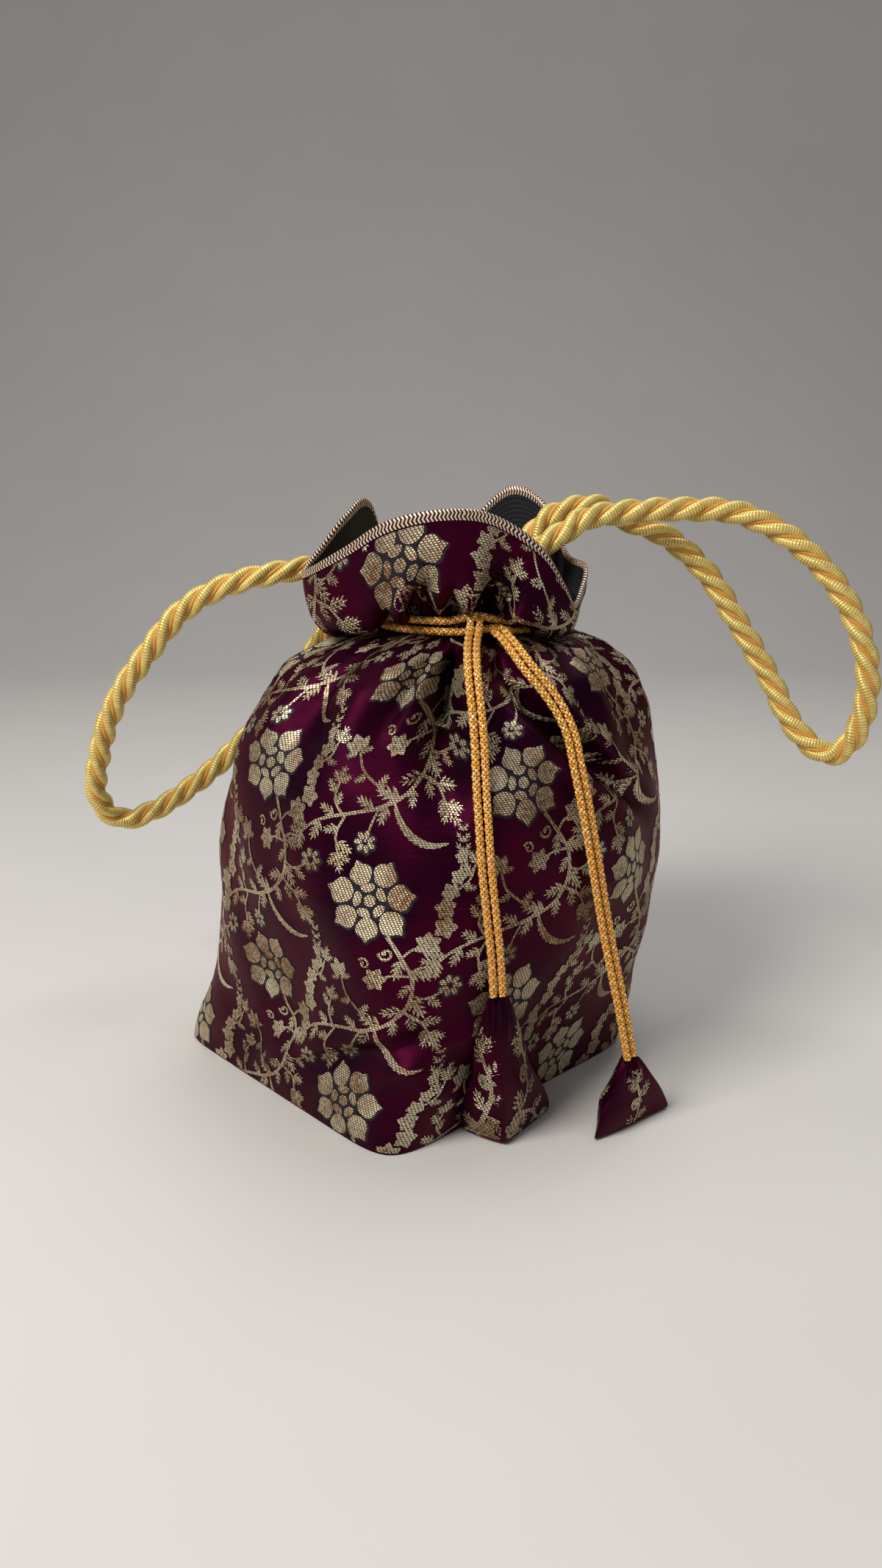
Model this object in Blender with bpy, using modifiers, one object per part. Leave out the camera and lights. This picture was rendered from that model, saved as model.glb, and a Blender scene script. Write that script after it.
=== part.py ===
"""Potli bag: a square-based brocade pouch, lined, drawn in at the neck by two cords, with rope handles.

Units are metres, +Z is up, the origin is the centre of the square base on the surface it stands on.
The bag's front, where the cords are knotted, faces -Y.
"""
import math

import bmesh
import bpy
import numpy as np

# Base: a square panel, turned so that one corner points to the front
BASE_SIDE = 0.131
BASE_CORNER_POWER = 10.0
FRONT_CORNER_ANGLE = math.radians(-91.5)
BASE_PANEL_THICKNESS = 0.0016

# Body: the walls swell to the belly and draw in to the neck, leaning to +X
BELLY_RADIUS = 0.080
BELLY_HEIGHT = 0.086
BELLY_POWER = 2.35
NECK_RADIUS = 0.0275
NECK_HEIGHT = 0.168
NECK_BAND = 0.0085
NECK_LEAN = 0.024

# Cloth: brocade outside, a thin lining inside
BROCADE_THICKNESS = 0.0008
LINING_THICKNESS = 0.0006
SEAM_GAP = 0.0003

# Gathers: pleats drawn up at the neck, fading down the shoulder and up the frill
PLEATS = 12
PLEAT_DEPTH = 0.0032
PLEAT_FADE_BELOW = 0.20
PLEAT_FADE_ABOVE = 0.45

# Facets of the cloth in the collision model
COLUMNS = PLEATS * 4
BODY_ROWS = 10
BODY_ROW_CROWDING = 0.9
FRILL_ROWS = 6

# The neck band ends and the frill starts at this level; the base is 0, the neck 1 and the hem 2
FRILL_LEVEL = 1.15

# The way up the lower wall: share of the way to the belly, shares of its swell, squareness and lean
LOWER_WALL = (
    (0.00, 0.00, 1.00, 0.00),
    (0.12, 0.06, 0.72, 0.08),
    (0.35, 0.18, 0.34, 0.30),
    (0.70, 0.64, 0.09, 0.52),
    (1.00, 1.00, 0.00, 0.62),
)
# The way up the shoulder: share of the way to the neck, shares of the belly's excess radius and lean
SHOULDER = (
    (0.00, 1.000, 0.62),
    (0.25, 0.985, 0.67),
    (0.50, 0.915, 0.67),
    (0.72, 0.785, 0.75),
    (0.88, 0.580, 0.87),
    (0.965, 0.270, 1.00),
    (1.00, 0.000, 1.00),
)

# Large folds: (angle in degrees, half width in degrees, depth in m, height where it is deepest, reach down)
FOLDS = (
    (-101.0, 9.0, 0.0085, 0.155, 0.030),
    (-62.0, 8.0, 0.0060, 0.150, 0.034),
    (-28.0, 9.0, 0.0050, 0.148, 0.036),
    (22.0, 10.0, 0.0055, 0.152, 0.034),
    (78.0, 9.0, 0.0060, 0.154, 0.030),
    (124.0, 10.0, 0.0050, 0.150, 0.034),
    (172.0, 9.0, 0.0055, 0.152, 0.032),
    (-136.0, 9.0, 0.0050, 0.150, 0.030),
)
# Height over which they fade out below the neck
FOLD_END = 0.012

# Hem of the frill: angle at the neck in degrees, then x, y, z; a sharp pleat at each side, a dip at the back
HEM = (
    (-98.0, 0.017, -0.046, 0.210),
    (-76.0, 0.035, -0.043, 0.207),
    (-60.0, 0.049, -0.038, 0.197),
    (-47.0, 0.057, -0.033, 0.185),
    (-36.0, 0.061, -0.027, 0.178),
    (-24.0, 0.065, -0.016, 0.182),
    (-10.0, 0.068, -0.003, 0.189),
    (6.0, 0.063, 0.008, 0.192),
    (22.0, 0.060, 0.022, 0.200),
    (38.0, 0.054, 0.032, 0.212),
    (54.0, 0.043, 0.037, 0.217),
    (70.0, 0.032, 0.041, 0.209),
    (88.0, 0.018, 0.044, 0.191),
    (106.0, 0.006, 0.044, 0.184),
    (124.0, -0.006, 0.039, 0.187),
    (140.0, -0.013, 0.028, 0.211),
    (158.0, -0.021, 0.014, 0.207),
    (174.0, -0.030, 0.002, 0.195),
    (188.0, -0.035, -0.008, 0.188),
    (202.0, -0.030, -0.017, 0.190),
    (220.0, -0.018, -0.028, 0.197),
    (240.0, -0.003, -0.039, 0.206),
)
# The cloth leaves the band flat and droops past the cords, less so at the front, before it turns up to the hem
FLARE_OUT = 1.05
FLARE_UP = 0.05
FLARE_DROP = 0.028
FLARE_DROP_POWER = 1.5
FLARE_FRONT_ANGLE = -92.0
FLARE_FRONT_HALF_WIDTH = 28.0
FLARE_FRONT_SHARE = 0.75

# Handles: twisted rope, both ends of each held inside the neck
HANDLE_DIAMETER = 0.010
HANDLE_POINT_SPACING = 0.014
HANDLE_ROUNDNESS = 3
HANDLE_LEFT_ROUTE = (
    (0.0090, 0.0087, 0.1580),
    (0.0102, 0.0086, 0.1735),
    (0.0088, 0.0128, 0.1850),
    (0.0050, 0.0250, 0.1930),
    (0.0005, 0.0370, 0.1955),
    (-0.0085, 0.0450, 0.1930),
    (-0.0215, 0.0410, 0.1890),
    (-0.0320, 0.0300, 0.1875),
    (-0.0400, 0.0245, 0.1862),
    (-0.0508, 0.0210, 0.1845),
    (-0.0620, 0.0200, 0.1820),
    (-0.0730, 0.0200, 0.1780),
    (-0.0840, 0.0200, 0.1715),
    (-0.1000, 0.0200, 0.1540),
    (-0.1140, 0.0220, 0.1350),
    (-0.1240, 0.0270, 0.1120),
    (-0.1280, 0.0340, 0.0910),
    (-0.1250, 0.0380, 0.0830),
    (-0.1190, 0.0420, 0.0795),
    (-0.1110, 0.0470, 0.0810),
    (-0.0930, 0.0560, 0.0910),
    (-0.0740, 0.0620, 0.1070),
    (-0.0560, 0.0620, 0.1270),
    (-0.0400, 0.0540, 0.1480),
    (-0.0290, 0.0470, 0.1630),
    (-0.0160, 0.0500, 0.1770),
    (-0.0020, 0.0545, 0.1885),
    (0.0095, 0.0520, 0.1960),
    (0.0150, 0.0400, 0.1975),
    (0.0176, 0.0225, 0.1935),
    (0.0180, 0.0152, 0.1785),
    (0.0181, 0.0163, 0.1580),
)
HANDLE_RIGHT_ROUTE = (
    (0.0403, -0.0059, 0.1580),
    (0.0400, -0.0056, 0.1745),
    (0.0435, -0.0038, 0.1870),
    (0.0505, -0.0010, 0.1955),
    (0.0590, 0.0020, 0.2005),
    (0.0670, 0.0060, 0.2055),
    (0.0780, 0.0100, 0.2075),
    (0.0900, 0.0120, 0.2085),
    (0.1070, 0.0130, 0.2090),
    (0.1240, 0.0120, 0.2080),
    (0.1440, 0.0080, 0.1990),
    (0.1600, 0.0040, 0.1840),
    (0.1710, 0.0010, 0.1650),
    (0.1755, 0.0000, 0.1480),
    (0.1750, 0.0010, 0.1310),
    (0.1720, 0.0030, 0.1215),
    (0.1670, 0.0060, 0.1165),
    (0.1600, 0.0100, 0.1190),
    (0.1540, 0.0140, 0.1255),
    (0.1440, 0.0210, 0.1450),
    (0.1310, 0.0240, 0.1660),
    (0.1170, 0.0260, 0.1860),
    (0.1010, 0.0270, 0.1990),
    (0.0840, 0.0260, 0.2055),
    (0.0730, 0.0225, 0.2100),
    (0.0640, 0.0190, 0.2090),
    (0.0560, 0.0160, 0.2060),
    (0.0490, 0.0135, 0.1990),
    (0.0425, 0.0105, 0.1890),
    (0.0400, 0.0062, 0.1745),
    (0.0403, 0.0059, 0.1580),
)

# Drawcords: each runs once around the neck band and hangs in two strands, from the knot to its tassel
DRAWCORD_DIAMETER = 0.003
DRAWCORD_POINT_SPACING = 0.0065
DRAWCORD_ROUNDNESS = 2
STRAND_SPREAD = 0.0019
CORD_CLEARANCE = 0.0006
RING_STEPS = 11
LEFT_CORD_FALL = (
    (0.0265, -0.0362, 0.1738),
    (0.0262, -0.0385, 0.1705),
    (0.0255, -0.0440, 0.1680),
    (0.0250, -0.0533, 0.1645),
    (0.0252, -0.0630, 0.1583),
    (0.0262, -0.0701, 0.1490),
    (0.0270, -0.0750, 0.1387),
    (0.0276, -0.0790, 0.1255),
    (0.0283, -0.0820, 0.1150),
    (0.0293, -0.0840, 0.1010),
    (0.0308, -0.0842, 0.0870),
    (0.0325, -0.0838, 0.0720),
    (0.0335, -0.0832, 0.0570),
)
LEFT_CORD_RING = (-104.0, -428.0)
LEFT_CORD_RING_HEIGHT = 0.0048
RIGHT_CORD_FALL = (
    (0.0345, -0.0352, 0.1700),
    (0.0365, -0.0405, 0.1685),
    (0.0390, -0.0485, 0.1660),
    (0.0430, -0.0560, 0.1610),
    (0.0490, -0.0590, 0.1540),
    (0.0535, -0.0605, 0.1475),
    (0.0570, -0.0625, 0.1400),
    (0.0590, -0.0650, 0.1310),
    (0.0620, -0.0670, 0.1170),
    (0.0650, -0.0675, 0.1020),
    (0.0680, -0.0675, 0.0860),
    (0.0720, -0.0675, 0.0660),
    (0.0765, -0.0680, 0.0460),
    (0.0805, -0.0680, 0.0265),
)
RIGHT_CORD_RING = (-92.0, -415.0)
RIGHT_CORD_RING_HEIGHT = 0.0012

# Tassels: soft three-cornered pouches that stand on the surface, corners as x, y
TASSEL_LEFT_CORNERS = ((0.020, -0.071), (0.037, -0.082), (0.056, -0.056))
TASSEL_LEFT_HEIGHT = 0.0565
TASSEL_RIGHT_CORNERS = ((0.066, -0.080), (0.099, -0.056), (0.074, -0.053))
TASSEL_RIGHT_HEIGHT = 0.0260
TASSEL_TOP_RADIUS = 0.0045
TASSEL_PUFF = 0.004
TASSEL_EDGE_CREASE = 0.75
TASSEL_SMOOTHING = 2

COLLECTION = "potli_bag"


def material(name, colour, roughness, metallic=0.0):
    """A plain Principled material."""
    made = bpy.data.materials.new(name)
    made.use_nodes = True
    shader = made.node_tree.nodes["Principled BSDF"]
    shader.inputs["Base Color"].default_value = (*colour, 1.0)
    shader.inputs["Roughness"].default_value = roughness
    shader.inputs["Metallic"].default_value = metallic
    return made


def hermite(keys, values, wanted, slopes):
    """Cubic curve through values at keys, read at the wanted places."""
    place = np.clip(np.searchsorted(keys, wanted, side="right") - 1, 0, len(keys) - 2)
    span = keys[place + 1] - keys[place]
    t = ((wanted - keys[place]) / span)[:, None]
    span = span[:, None]
    return (
        values[place] * (2 * t**3 - 3 * t**2 + 1)
        + slopes[place] * span * (t**3 - 2 * t**2 + t)
        + values[place + 1] * (3 * t**2 - 2 * t**3)
        + slopes[place + 1] * span * (t**3 - t**2)
    )


def smooth_line(table, wanted):
    """Read a table of (key, value, ...) rows at the wanted keys along a smooth curve."""
    rows = np.array(table, float)
    keys, values = rows[:, 0], rows[:, 1:]
    slopes = np.gradient(values, keys, axis=0)
    return hermite(keys, values, np.asarray(wanted, float), slopes)


def smooth_loop(table, period, wanted):
    """The same for a table whose last row leads back to the first."""
    rows = np.array(table, float)
    keys = np.concatenate([rows[-2:, 0] - period, rows[:, 0], rows[:2, 0] + period])
    values = np.concatenate([rows[-2:, 1:], rows[:, 1:], rows[:2, 1:]])
    slopes = np.gradient(values, keys, axis=0)
    start = rows[0, 0]
    wrapped = (np.asarray(wanted, float) - start) % period + start
    return hermite(keys, values, wrapped, slopes)


def rounded_square(angle, half_width, power):
    """Distance from the middle to a square with soft corners, from its angle to the front corner."""
    turned = angle - FRONT_CORNER_ANGLE + math.pi / 4
    reach = np.abs(np.cos(turned)) ** power + np.abs(np.sin(turned)) ** power
    return half_width / reach ** (1 / power)


def wall_section(level):
    """Height, half width, corner power and lean of the wall, level 0 at the base, 1 at the neck."""
    base_half = BASE_SIDE / 2
    if level < 0.5:
        swell, square, lean = smooth_line(LOWER_WALL, [2 * level])[0]
        height = 2 * level * BELLY_HEIGHT
        half_width = base_half + swell * (BELLY_RADIUS - base_half)
        power = BELLY_POWER + square * (BASE_CORNER_POWER - BELLY_POWER)
        return height, half_width, power, lean * NECK_LEAN
    rise = 2 * level - 1
    excess, lean = smooth_line(SHOULDER, [rise])[0]
    height = BELLY_HEIGHT + rise * (NECK_HEIGHT - BELLY_HEIGHT)
    half_width = NECK_RADIUS + excess * (BELLY_RADIUS - NECK_RADIUS)
    power = 2 + (BELLY_POWER - 2) * (1 - rise)
    return height, half_width, power, lean * NECK_LEAN


def fold_depth(angle, height):
    """How far the large folds press the wall in."""
    depth = np.zeros_like(angle)
    for middle, half_width, deepest, where, reach in FOLDS:
        away = (np.degrees(angle) - middle + 180) % 360 - 180
        across = np.exp(-((away / half_width) ** 2))
        down = math.exp(-(((height - where) / reach) ** 2))
        depth += deepest * across * down
    return depth * min(1, (NECK_HEIGHT - height) / FOLD_END)


def pleat_wave(angle, level):
    """Radial wave of the neck's gathers, strongest all the way up the neck band."""
    below = max(0, 1 - level) / PLEAT_FADE_BELOW
    above = max(0, level - FRILL_LEVEL) / PLEAT_FADE_ABOVE
    strength = math.exp(-(below**2) - above**2)
    return PLEAT_DEPTH * strength * np.cos(PLEATS * (angle - FRONT_CORNER_ANGLE))


def cloth_ring(angle, level):
    """Points of the outer face of the brocade around the bag, level 0 base, 1 neck, 2 hem."""
    outward = np.stack([np.cos(angle), np.sin(angle), np.zeros_like(angle)], axis=1)
    up = np.array([0.0, 0.0, 1.0])
    height, half_width, power, lean = wall_section(min(level, 1.0))
    band = NECK_BAND * min(max(level - 1, 0) / (FRILL_LEVEL - 1), 1)
    radius = rounded_square(angle, half_width, power) - fold_depth(angle, height)
    ring = np.array([lean, 0.0, height + band]) + outward * radius[:, None]
    if level > FRILL_LEVEL:
        share = (level - FRILL_LEVEL) / (2 - FRILL_LEVEL)
        hem = smooth_loop(HEM, 360.0, np.degrees(angle))
        apart = hem - ring
        spread = np.linalg.norm(apart[:, :2], axis=1, keepdims=True)
        turn = ring + outward * FLARE_OUT * spread + FLARE_UP * apart[:, 2:] * up
        ring = (1 - share) ** 2 * ring + 2 * share * (1 - share) * turn + share**2 * hem
        away = (np.degrees(angle) - FLARE_FRONT_ANGLE + 180) % 360 - 180
        held = FLARE_FRONT_SHARE * np.exp(-((away / FLARE_FRONT_HALF_WIDTH) ** 2))
        ring[:, 2] -= FLARE_DROP * share**FLARE_DROP_POWER * (1 - share) * (1 - held)
    return ring + outward * pleat_wave(angle, level)[:, None]


def level_at(height):
    """Level of a height on the lower wall."""
    return height / (2 * BELLY_HEIGHT)


def cloth_levels(bottom):
    """Levels of the rows of facets from the bottom height up, closer together under the neck."""
    start = level_at(bottom)
    body = start + (1 - start) * np.linspace(0, 1, BODY_ROWS + 1) ** BODY_ROW_CROWDING
    frill = np.linspace(FRILL_LEVEL, 2, FRILL_ROWS + 1)
    return np.concatenate([body, frill])


def wall_angles():
    """Angles of the cloth's columns, one of them on each corner of the base."""
    return FRONT_CORNER_ANGLE + np.arange(COLUMNS) * 2 * math.pi / COLUMNS


def cloth_grid(bottom):
    """Rows of points of the brocade's outer face, from the bottom height up."""
    return np.array([cloth_ring(wall_angles(), level) for level in cloth_levels(bottom)])


def grid_normals(grid):
    """Outward unit normals of a grid that closes around the bag."""
    around = np.roll(grid, -1, axis=1) - np.roll(grid, 1, axis=1)
    along = np.gradient(grid, axis=0)
    normals = np.cross(around, along)
    return normals / np.linalg.norm(normals, axis=2, keepdims=True)


def facet_normals(mesh, shape):
    """The normals along which a wall of facets is thickened, in the order of its grid."""
    normals = np.empty(len(mesh.vertices) * 3)
    mesh.vertices.foreach_get("normal", normals)
    return normals.reshape(shape)


def collect(made, finish):
    """Put an object in the bag's collection with its material."""
    bpy.data.collections[COLLECTION].objects.link(made)
    made.data.materials.append(finish)
    return made


def cloth_tube(name, grid, thickness, finish):
    """A wall of cloth on a grid of points, its thickness inward."""
    rows, columns = grid.shape[:2]
    mesh = bpy.data.meshes.new(name)
    faces = [
        (
            row * columns + column,
            row * columns + (column + 1) % columns,
            (row + 1) * columns + (column + 1) % columns,
            (row + 1) * columns + column,
        )
        for row in range(rows - 1)
        for column in range(columns)
    ]
    mesh.from_pydata(grid.reshape(-1, 3).tolist(), [], faces)
    mesh.shade_smooth()
    made = collect(bpy.data.objects.new(name, mesh), finish)
    wall = made.modifiers.new("cloth", "SOLIDIFY")
    wall.thickness = thickness
    wall.offset = -1.0
    return made


def panel(name, outline, bottom, thickness, finish):
    """A flat panel with the given outline."""
    mesh = bpy.data.meshes.new(name)
    shape = bmesh.new()
    corners = [shape.verts.new((x, y, bottom)) for x, y in outline]
    face = shape.faces.new(corners)
    raised = bmesh.ops.extrude_face_region(shape, geom=[face])
    moved = [item for item in raised["geom"] if isinstance(item, bmesh.types.BMVert)]
    bmesh.ops.translate(shape, verts=moved, vec=(0, 0, thickness))
    bmesh.ops.recalc_face_normals(shape, faces=shape.faces)
    shape.to_mesh(mesh)
    shape.free()
    return collect(bpy.data.objects.new(name, mesh), finish)


def panel_outline(top, inset):
    """Outline of a base panel that clears the wall up to its top face."""
    rows = np.array([cloth_ring(wall_angles(), level_at(height)) for height in (top, top + SEAM_GAP)])
    inward = -grid_normals(rows)[0][:, :2]
    inward /= np.linalg.norm(inward, axis=1, keepdims=True)
    return rows[0][:, :2] + inward * inset


def smooth_route(points, spacing, steps_between=40):
    """Evenly spaced points on a smooth curve through a route's own points."""
    route = np.array(points, float)
    steps = np.linalg.norm(np.diff(route, axis=0), axis=1)
    along = np.concatenate([[0.0], np.cumsum(steps)])
    table = np.column_stack([along, route])
    fine = smooth_line(table, np.linspace(0, along[-1], steps_between * len(route)))
    lengths = np.concatenate([[0.0], np.cumsum(np.linalg.norm(np.diff(fine, axis=0), axis=1))])
    count = max(2, round(lengths[-1] / spacing))
    wanted = np.linspace(0, lengths[-1], count + 1)
    return np.stack([np.interp(wanted, lengths, fine[:, axis]) for axis in range(3)], axis=1)


def strand(fall, side):
    """One of a drawcord's two hanging strands, beside the middle line that both follow."""
    middle = np.array(fall, float)
    along = np.gradient(middle, axis=0)
    outward = middle - np.array([NECK_LEAN, 0.0, 0.0])
    outward[:, 2] = 0
    beside = np.cross(along, outward)
    beside /= np.linalg.norm(beside, axis=1, keepdims=True)
    return middle + side * STRAND_SPREAD * beside


def drawcord_route(fall, ring, ring_height):
    """A drawcord's whole run: up one strand, around the neck band, down the other strand."""
    radius = NECK_RADIUS + PLEAT_DEPTH + CORD_CLEARANCE + DRAWCORD_DIAMETER / 2
    around = np.radians(np.linspace(ring[0], ring[1], RING_STEPS))
    height = np.full(RING_STEPS, NECK_HEIGHT + ring_height)
    turn = np.stack([NECK_LEAN + radius * np.cos(around), radius * np.sin(around), height], axis=1)
    first = strand(fall, -1)[::-1]
    last = strand(fall, 1)
    return smooth_route(np.concatenate([first, turn, last]), DRAWCORD_POINT_SPACING)


def cord(name, route, diameter, roundness, finish):
    """A round cord along a route."""
    curve = bpy.data.curves.new(name, "CURVE")
    curve.dimensions = "3D"
    curve.bevel_depth = diameter / 2
    curve.bevel_resolution = roundness
    curve.use_fill_caps = True
    spline = curve.splines.new("POLY")
    spline.points.add(len(route) - 1)
    for point, place in zip(spline.points, route):
        point.co = (*place, 1.0)
    return collect(bpy.data.objects.new(name, curve), finish)


def tassel(name, corners, height, top, finish):
    """A soft pouch with a three-cornered foot on the surface and a small top at the cord's end."""
    foot = [np.array([x, y, 0.0]) for x, y in corners]
    middle = np.mean(foot, axis=0)
    peak = np.array([top[0], top[1], height])
    crown = []
    for corner in foot:
        away = (corner - middle) / np.linalg.norm(corner - middle)
        crown.append(peak + away * TASSEL_TOP_RADIUS)
    shape = bmesh.new()
    low = [shape.verts.new(place) for place in foot]
    high = [shape.verts.new(place) for place in crown]
    shape.faces.new(low)
    shape.faces.new(high)
    sides = [shape.faces.new((low[i], low[(i + 1) % 3], high[(i + 1) % 3], high[i])) for i in range(3)]
    bmesh.ops.recalc_face_normals(shape, faces=shape.faces)
    crease = shape.edges.layers.float.new("crease_edge")
    for edge in shape.edges:
        edge[crease] = TASSEL_EDGE_CREASE
    outward = [side.normal.copy() for side in sides]
    poked = bmesh.ops.poke(shape, faces=sides)
    for vertex, normal in zip(poked["verts"], outward):
        vertex.co += normal * TASSEL_PUFF
    mesh = bpy.data.meshes.new(name)
    shape.to_mesh(mesh)
    shape.free()
    mesh.shade_smooth()
    made = collect(bpy.data.objects.new(name, mesh), finish)
    soft = made.modifiers.new("soft", "SUBSURF")
    soft.levels = TASSEL_SMOOTHING
    soft.render_levels = TASSEL_SMOOTHING
    return made


def main():
    """Build the bag."""
    for old in list(bpy.data.objects):
        bpy.data.objects.remove(old)
    bpy.context.scene.collection.children.link(bpy.data.collections.new(COLLECTION))
    brocade = material("brocade", (0.11, 0.012, 0.07), 0.45)
    lining = material("lining", (0.012, 0.013, 0.016), 0.85)
    rope = material("rope", (0.65, 0.45, 0.12), 0.35)
    braid = material("braid", (0.60, 0.30, 0.05), 0.35, 0.6)

    outer = cloth_grid(SEAM_GAP)
    wall = cloth_tube("brocade_body", outer, BROCADE_THICKNESS, brocade)
    base_top = BASE_PANEL_THICKNESS
    base_inset = BROCADE_THICKNESS + SEAM_GAP
    panel("brocade_base", panel_outline(base_top, base_inset), 0.0, base_top, brocade)

    lining_bottom = base_top + SEAM_GAP
    inner = cloth_grid(lining_bottom + SEAM_GAP)
    inner = inner - facet_normals(wall.data, inner.shape) * base_inset
    cloth_tube("lining_body", inner, LINING_THICKNESS, lining)
    lining_top = lining_bottom + LINING_THICKNESS
    lining_inset = base_inset + LINING_THICKNESS + SEAM_GAP
    outline = panel_outline(lining_top, lining_inset)
    panel("lining_base", outline, lining_bottom, LINING_THICKNESS, lining)

    for name, points in (("handle_left", HANDLE_LEFT_ROUTE), ("handle_right", HANDLE_RIGHT_ROUTE)):
        cord(name, smooth_route(points, HANDLE_POINT_SPACING), HANDLE_DIAMETER, HANDLE_ROUNDNESS, rope)
    for side, fall, ring, height, corners, top in (
        (
            "left",
            LEFT_CORD_FALL,
            LEFT_CORD_RING,
            LEFT_CORD_RING_HEIGHT,
            TASSEL_LEFT_CORNERS,
            TASSEL_LEFT_HEIGHT,
        ),
        (
            "right",
            RIGHT_CORD_FALL,
            RIGHT_CORD_RING,
            RIGHT_CORD_RING_HEIGHT,
            TASSEL_RIGHT_CORNERS,
            TASSEL_RIGHT_HEIGHT,
        ),
    ):
        route = drawcord_route(fall, ring, height)
        cord(f"drawcord_{side}", route, DRAWCORD_DIAMETER, DRAWCORD_ROUNDNESS, braid)
        tassel(f"tassel_{side}", corners, top, fall[-1], brocade)


main()
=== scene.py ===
"""Potli bag in shot silk brocade: floral jaal weave, dark mesh lining, braided drawcords, satin rope handles.

Units are metres, +Z is up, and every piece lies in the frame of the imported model.
"""
from __future__ import annotations

import logging
import math
from collections.abc import Callable
from dataclasses import dataclass, field
from enum import Enum

import bmesh
import bpy
import numpy as np
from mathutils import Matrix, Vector, geometry
from mathutils.bvhtree import BVHTree

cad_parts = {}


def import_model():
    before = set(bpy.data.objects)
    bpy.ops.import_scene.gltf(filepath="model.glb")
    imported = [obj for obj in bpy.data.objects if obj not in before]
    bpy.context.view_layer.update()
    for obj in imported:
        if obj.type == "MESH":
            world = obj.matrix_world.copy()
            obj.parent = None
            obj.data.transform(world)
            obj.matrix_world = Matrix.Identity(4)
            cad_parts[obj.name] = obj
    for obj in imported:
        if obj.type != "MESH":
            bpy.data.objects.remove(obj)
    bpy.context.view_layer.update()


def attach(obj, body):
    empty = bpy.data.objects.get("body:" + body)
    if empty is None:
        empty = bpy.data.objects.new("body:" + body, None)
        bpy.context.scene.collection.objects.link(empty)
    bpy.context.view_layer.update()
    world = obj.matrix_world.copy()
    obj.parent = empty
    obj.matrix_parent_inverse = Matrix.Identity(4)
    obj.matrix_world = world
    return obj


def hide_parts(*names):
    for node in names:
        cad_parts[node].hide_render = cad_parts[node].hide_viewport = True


Array = np.ndarray
Shape = tuple[np.ndarray, np.ndarray]  # points, and faces as rows of their numbers
Point = tuple[float, float, float]
Colour = tuple[int, int, int]  # red, green and blue in eight bits, as a screen shows them
Socket = bpy.types.NodeSocket
Material = bpy.types.Material
Piece = bpy.types.Object

LOG = logging.getLogger("potli_bag")
MM = 0.001
MIX_SHARE, MIX_FIRST, MIX_SECOND, MIX_RESULT = 0, 6, 7, 2  # a Mix node's sockets for colours
SAG_PEAK = 6.75  # brings the peak of x * (1 - x)**2 to 1


class Slot(Enum):
    """The record's material slots."""

    BROCADE = "brocade"
    LINING = "lining"
    DRAWCORD = "drawcord"
    ROPE = "rope"


class Layer(Enum):
    """The layers of thread that stand on the brocade's ground, by their height above it."""

    OUTLINE = 0.00008
    GOLD = 0.00017
    DOT = 0.00023


def linear(red: float, green: float, blue: float) -> tuple[float, float, float, float]:
    """A shader colour from the eight-bit values that a screen shows."""
    made = []
    for value in (red, green, blue):
        share = value / 255
        made.append(share / 12.92 if share <= 0.04045 else ((share + 0.055) / 1.055) ** 2.4)
    return (made[0], made[1], made[2], 1.0)


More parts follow.
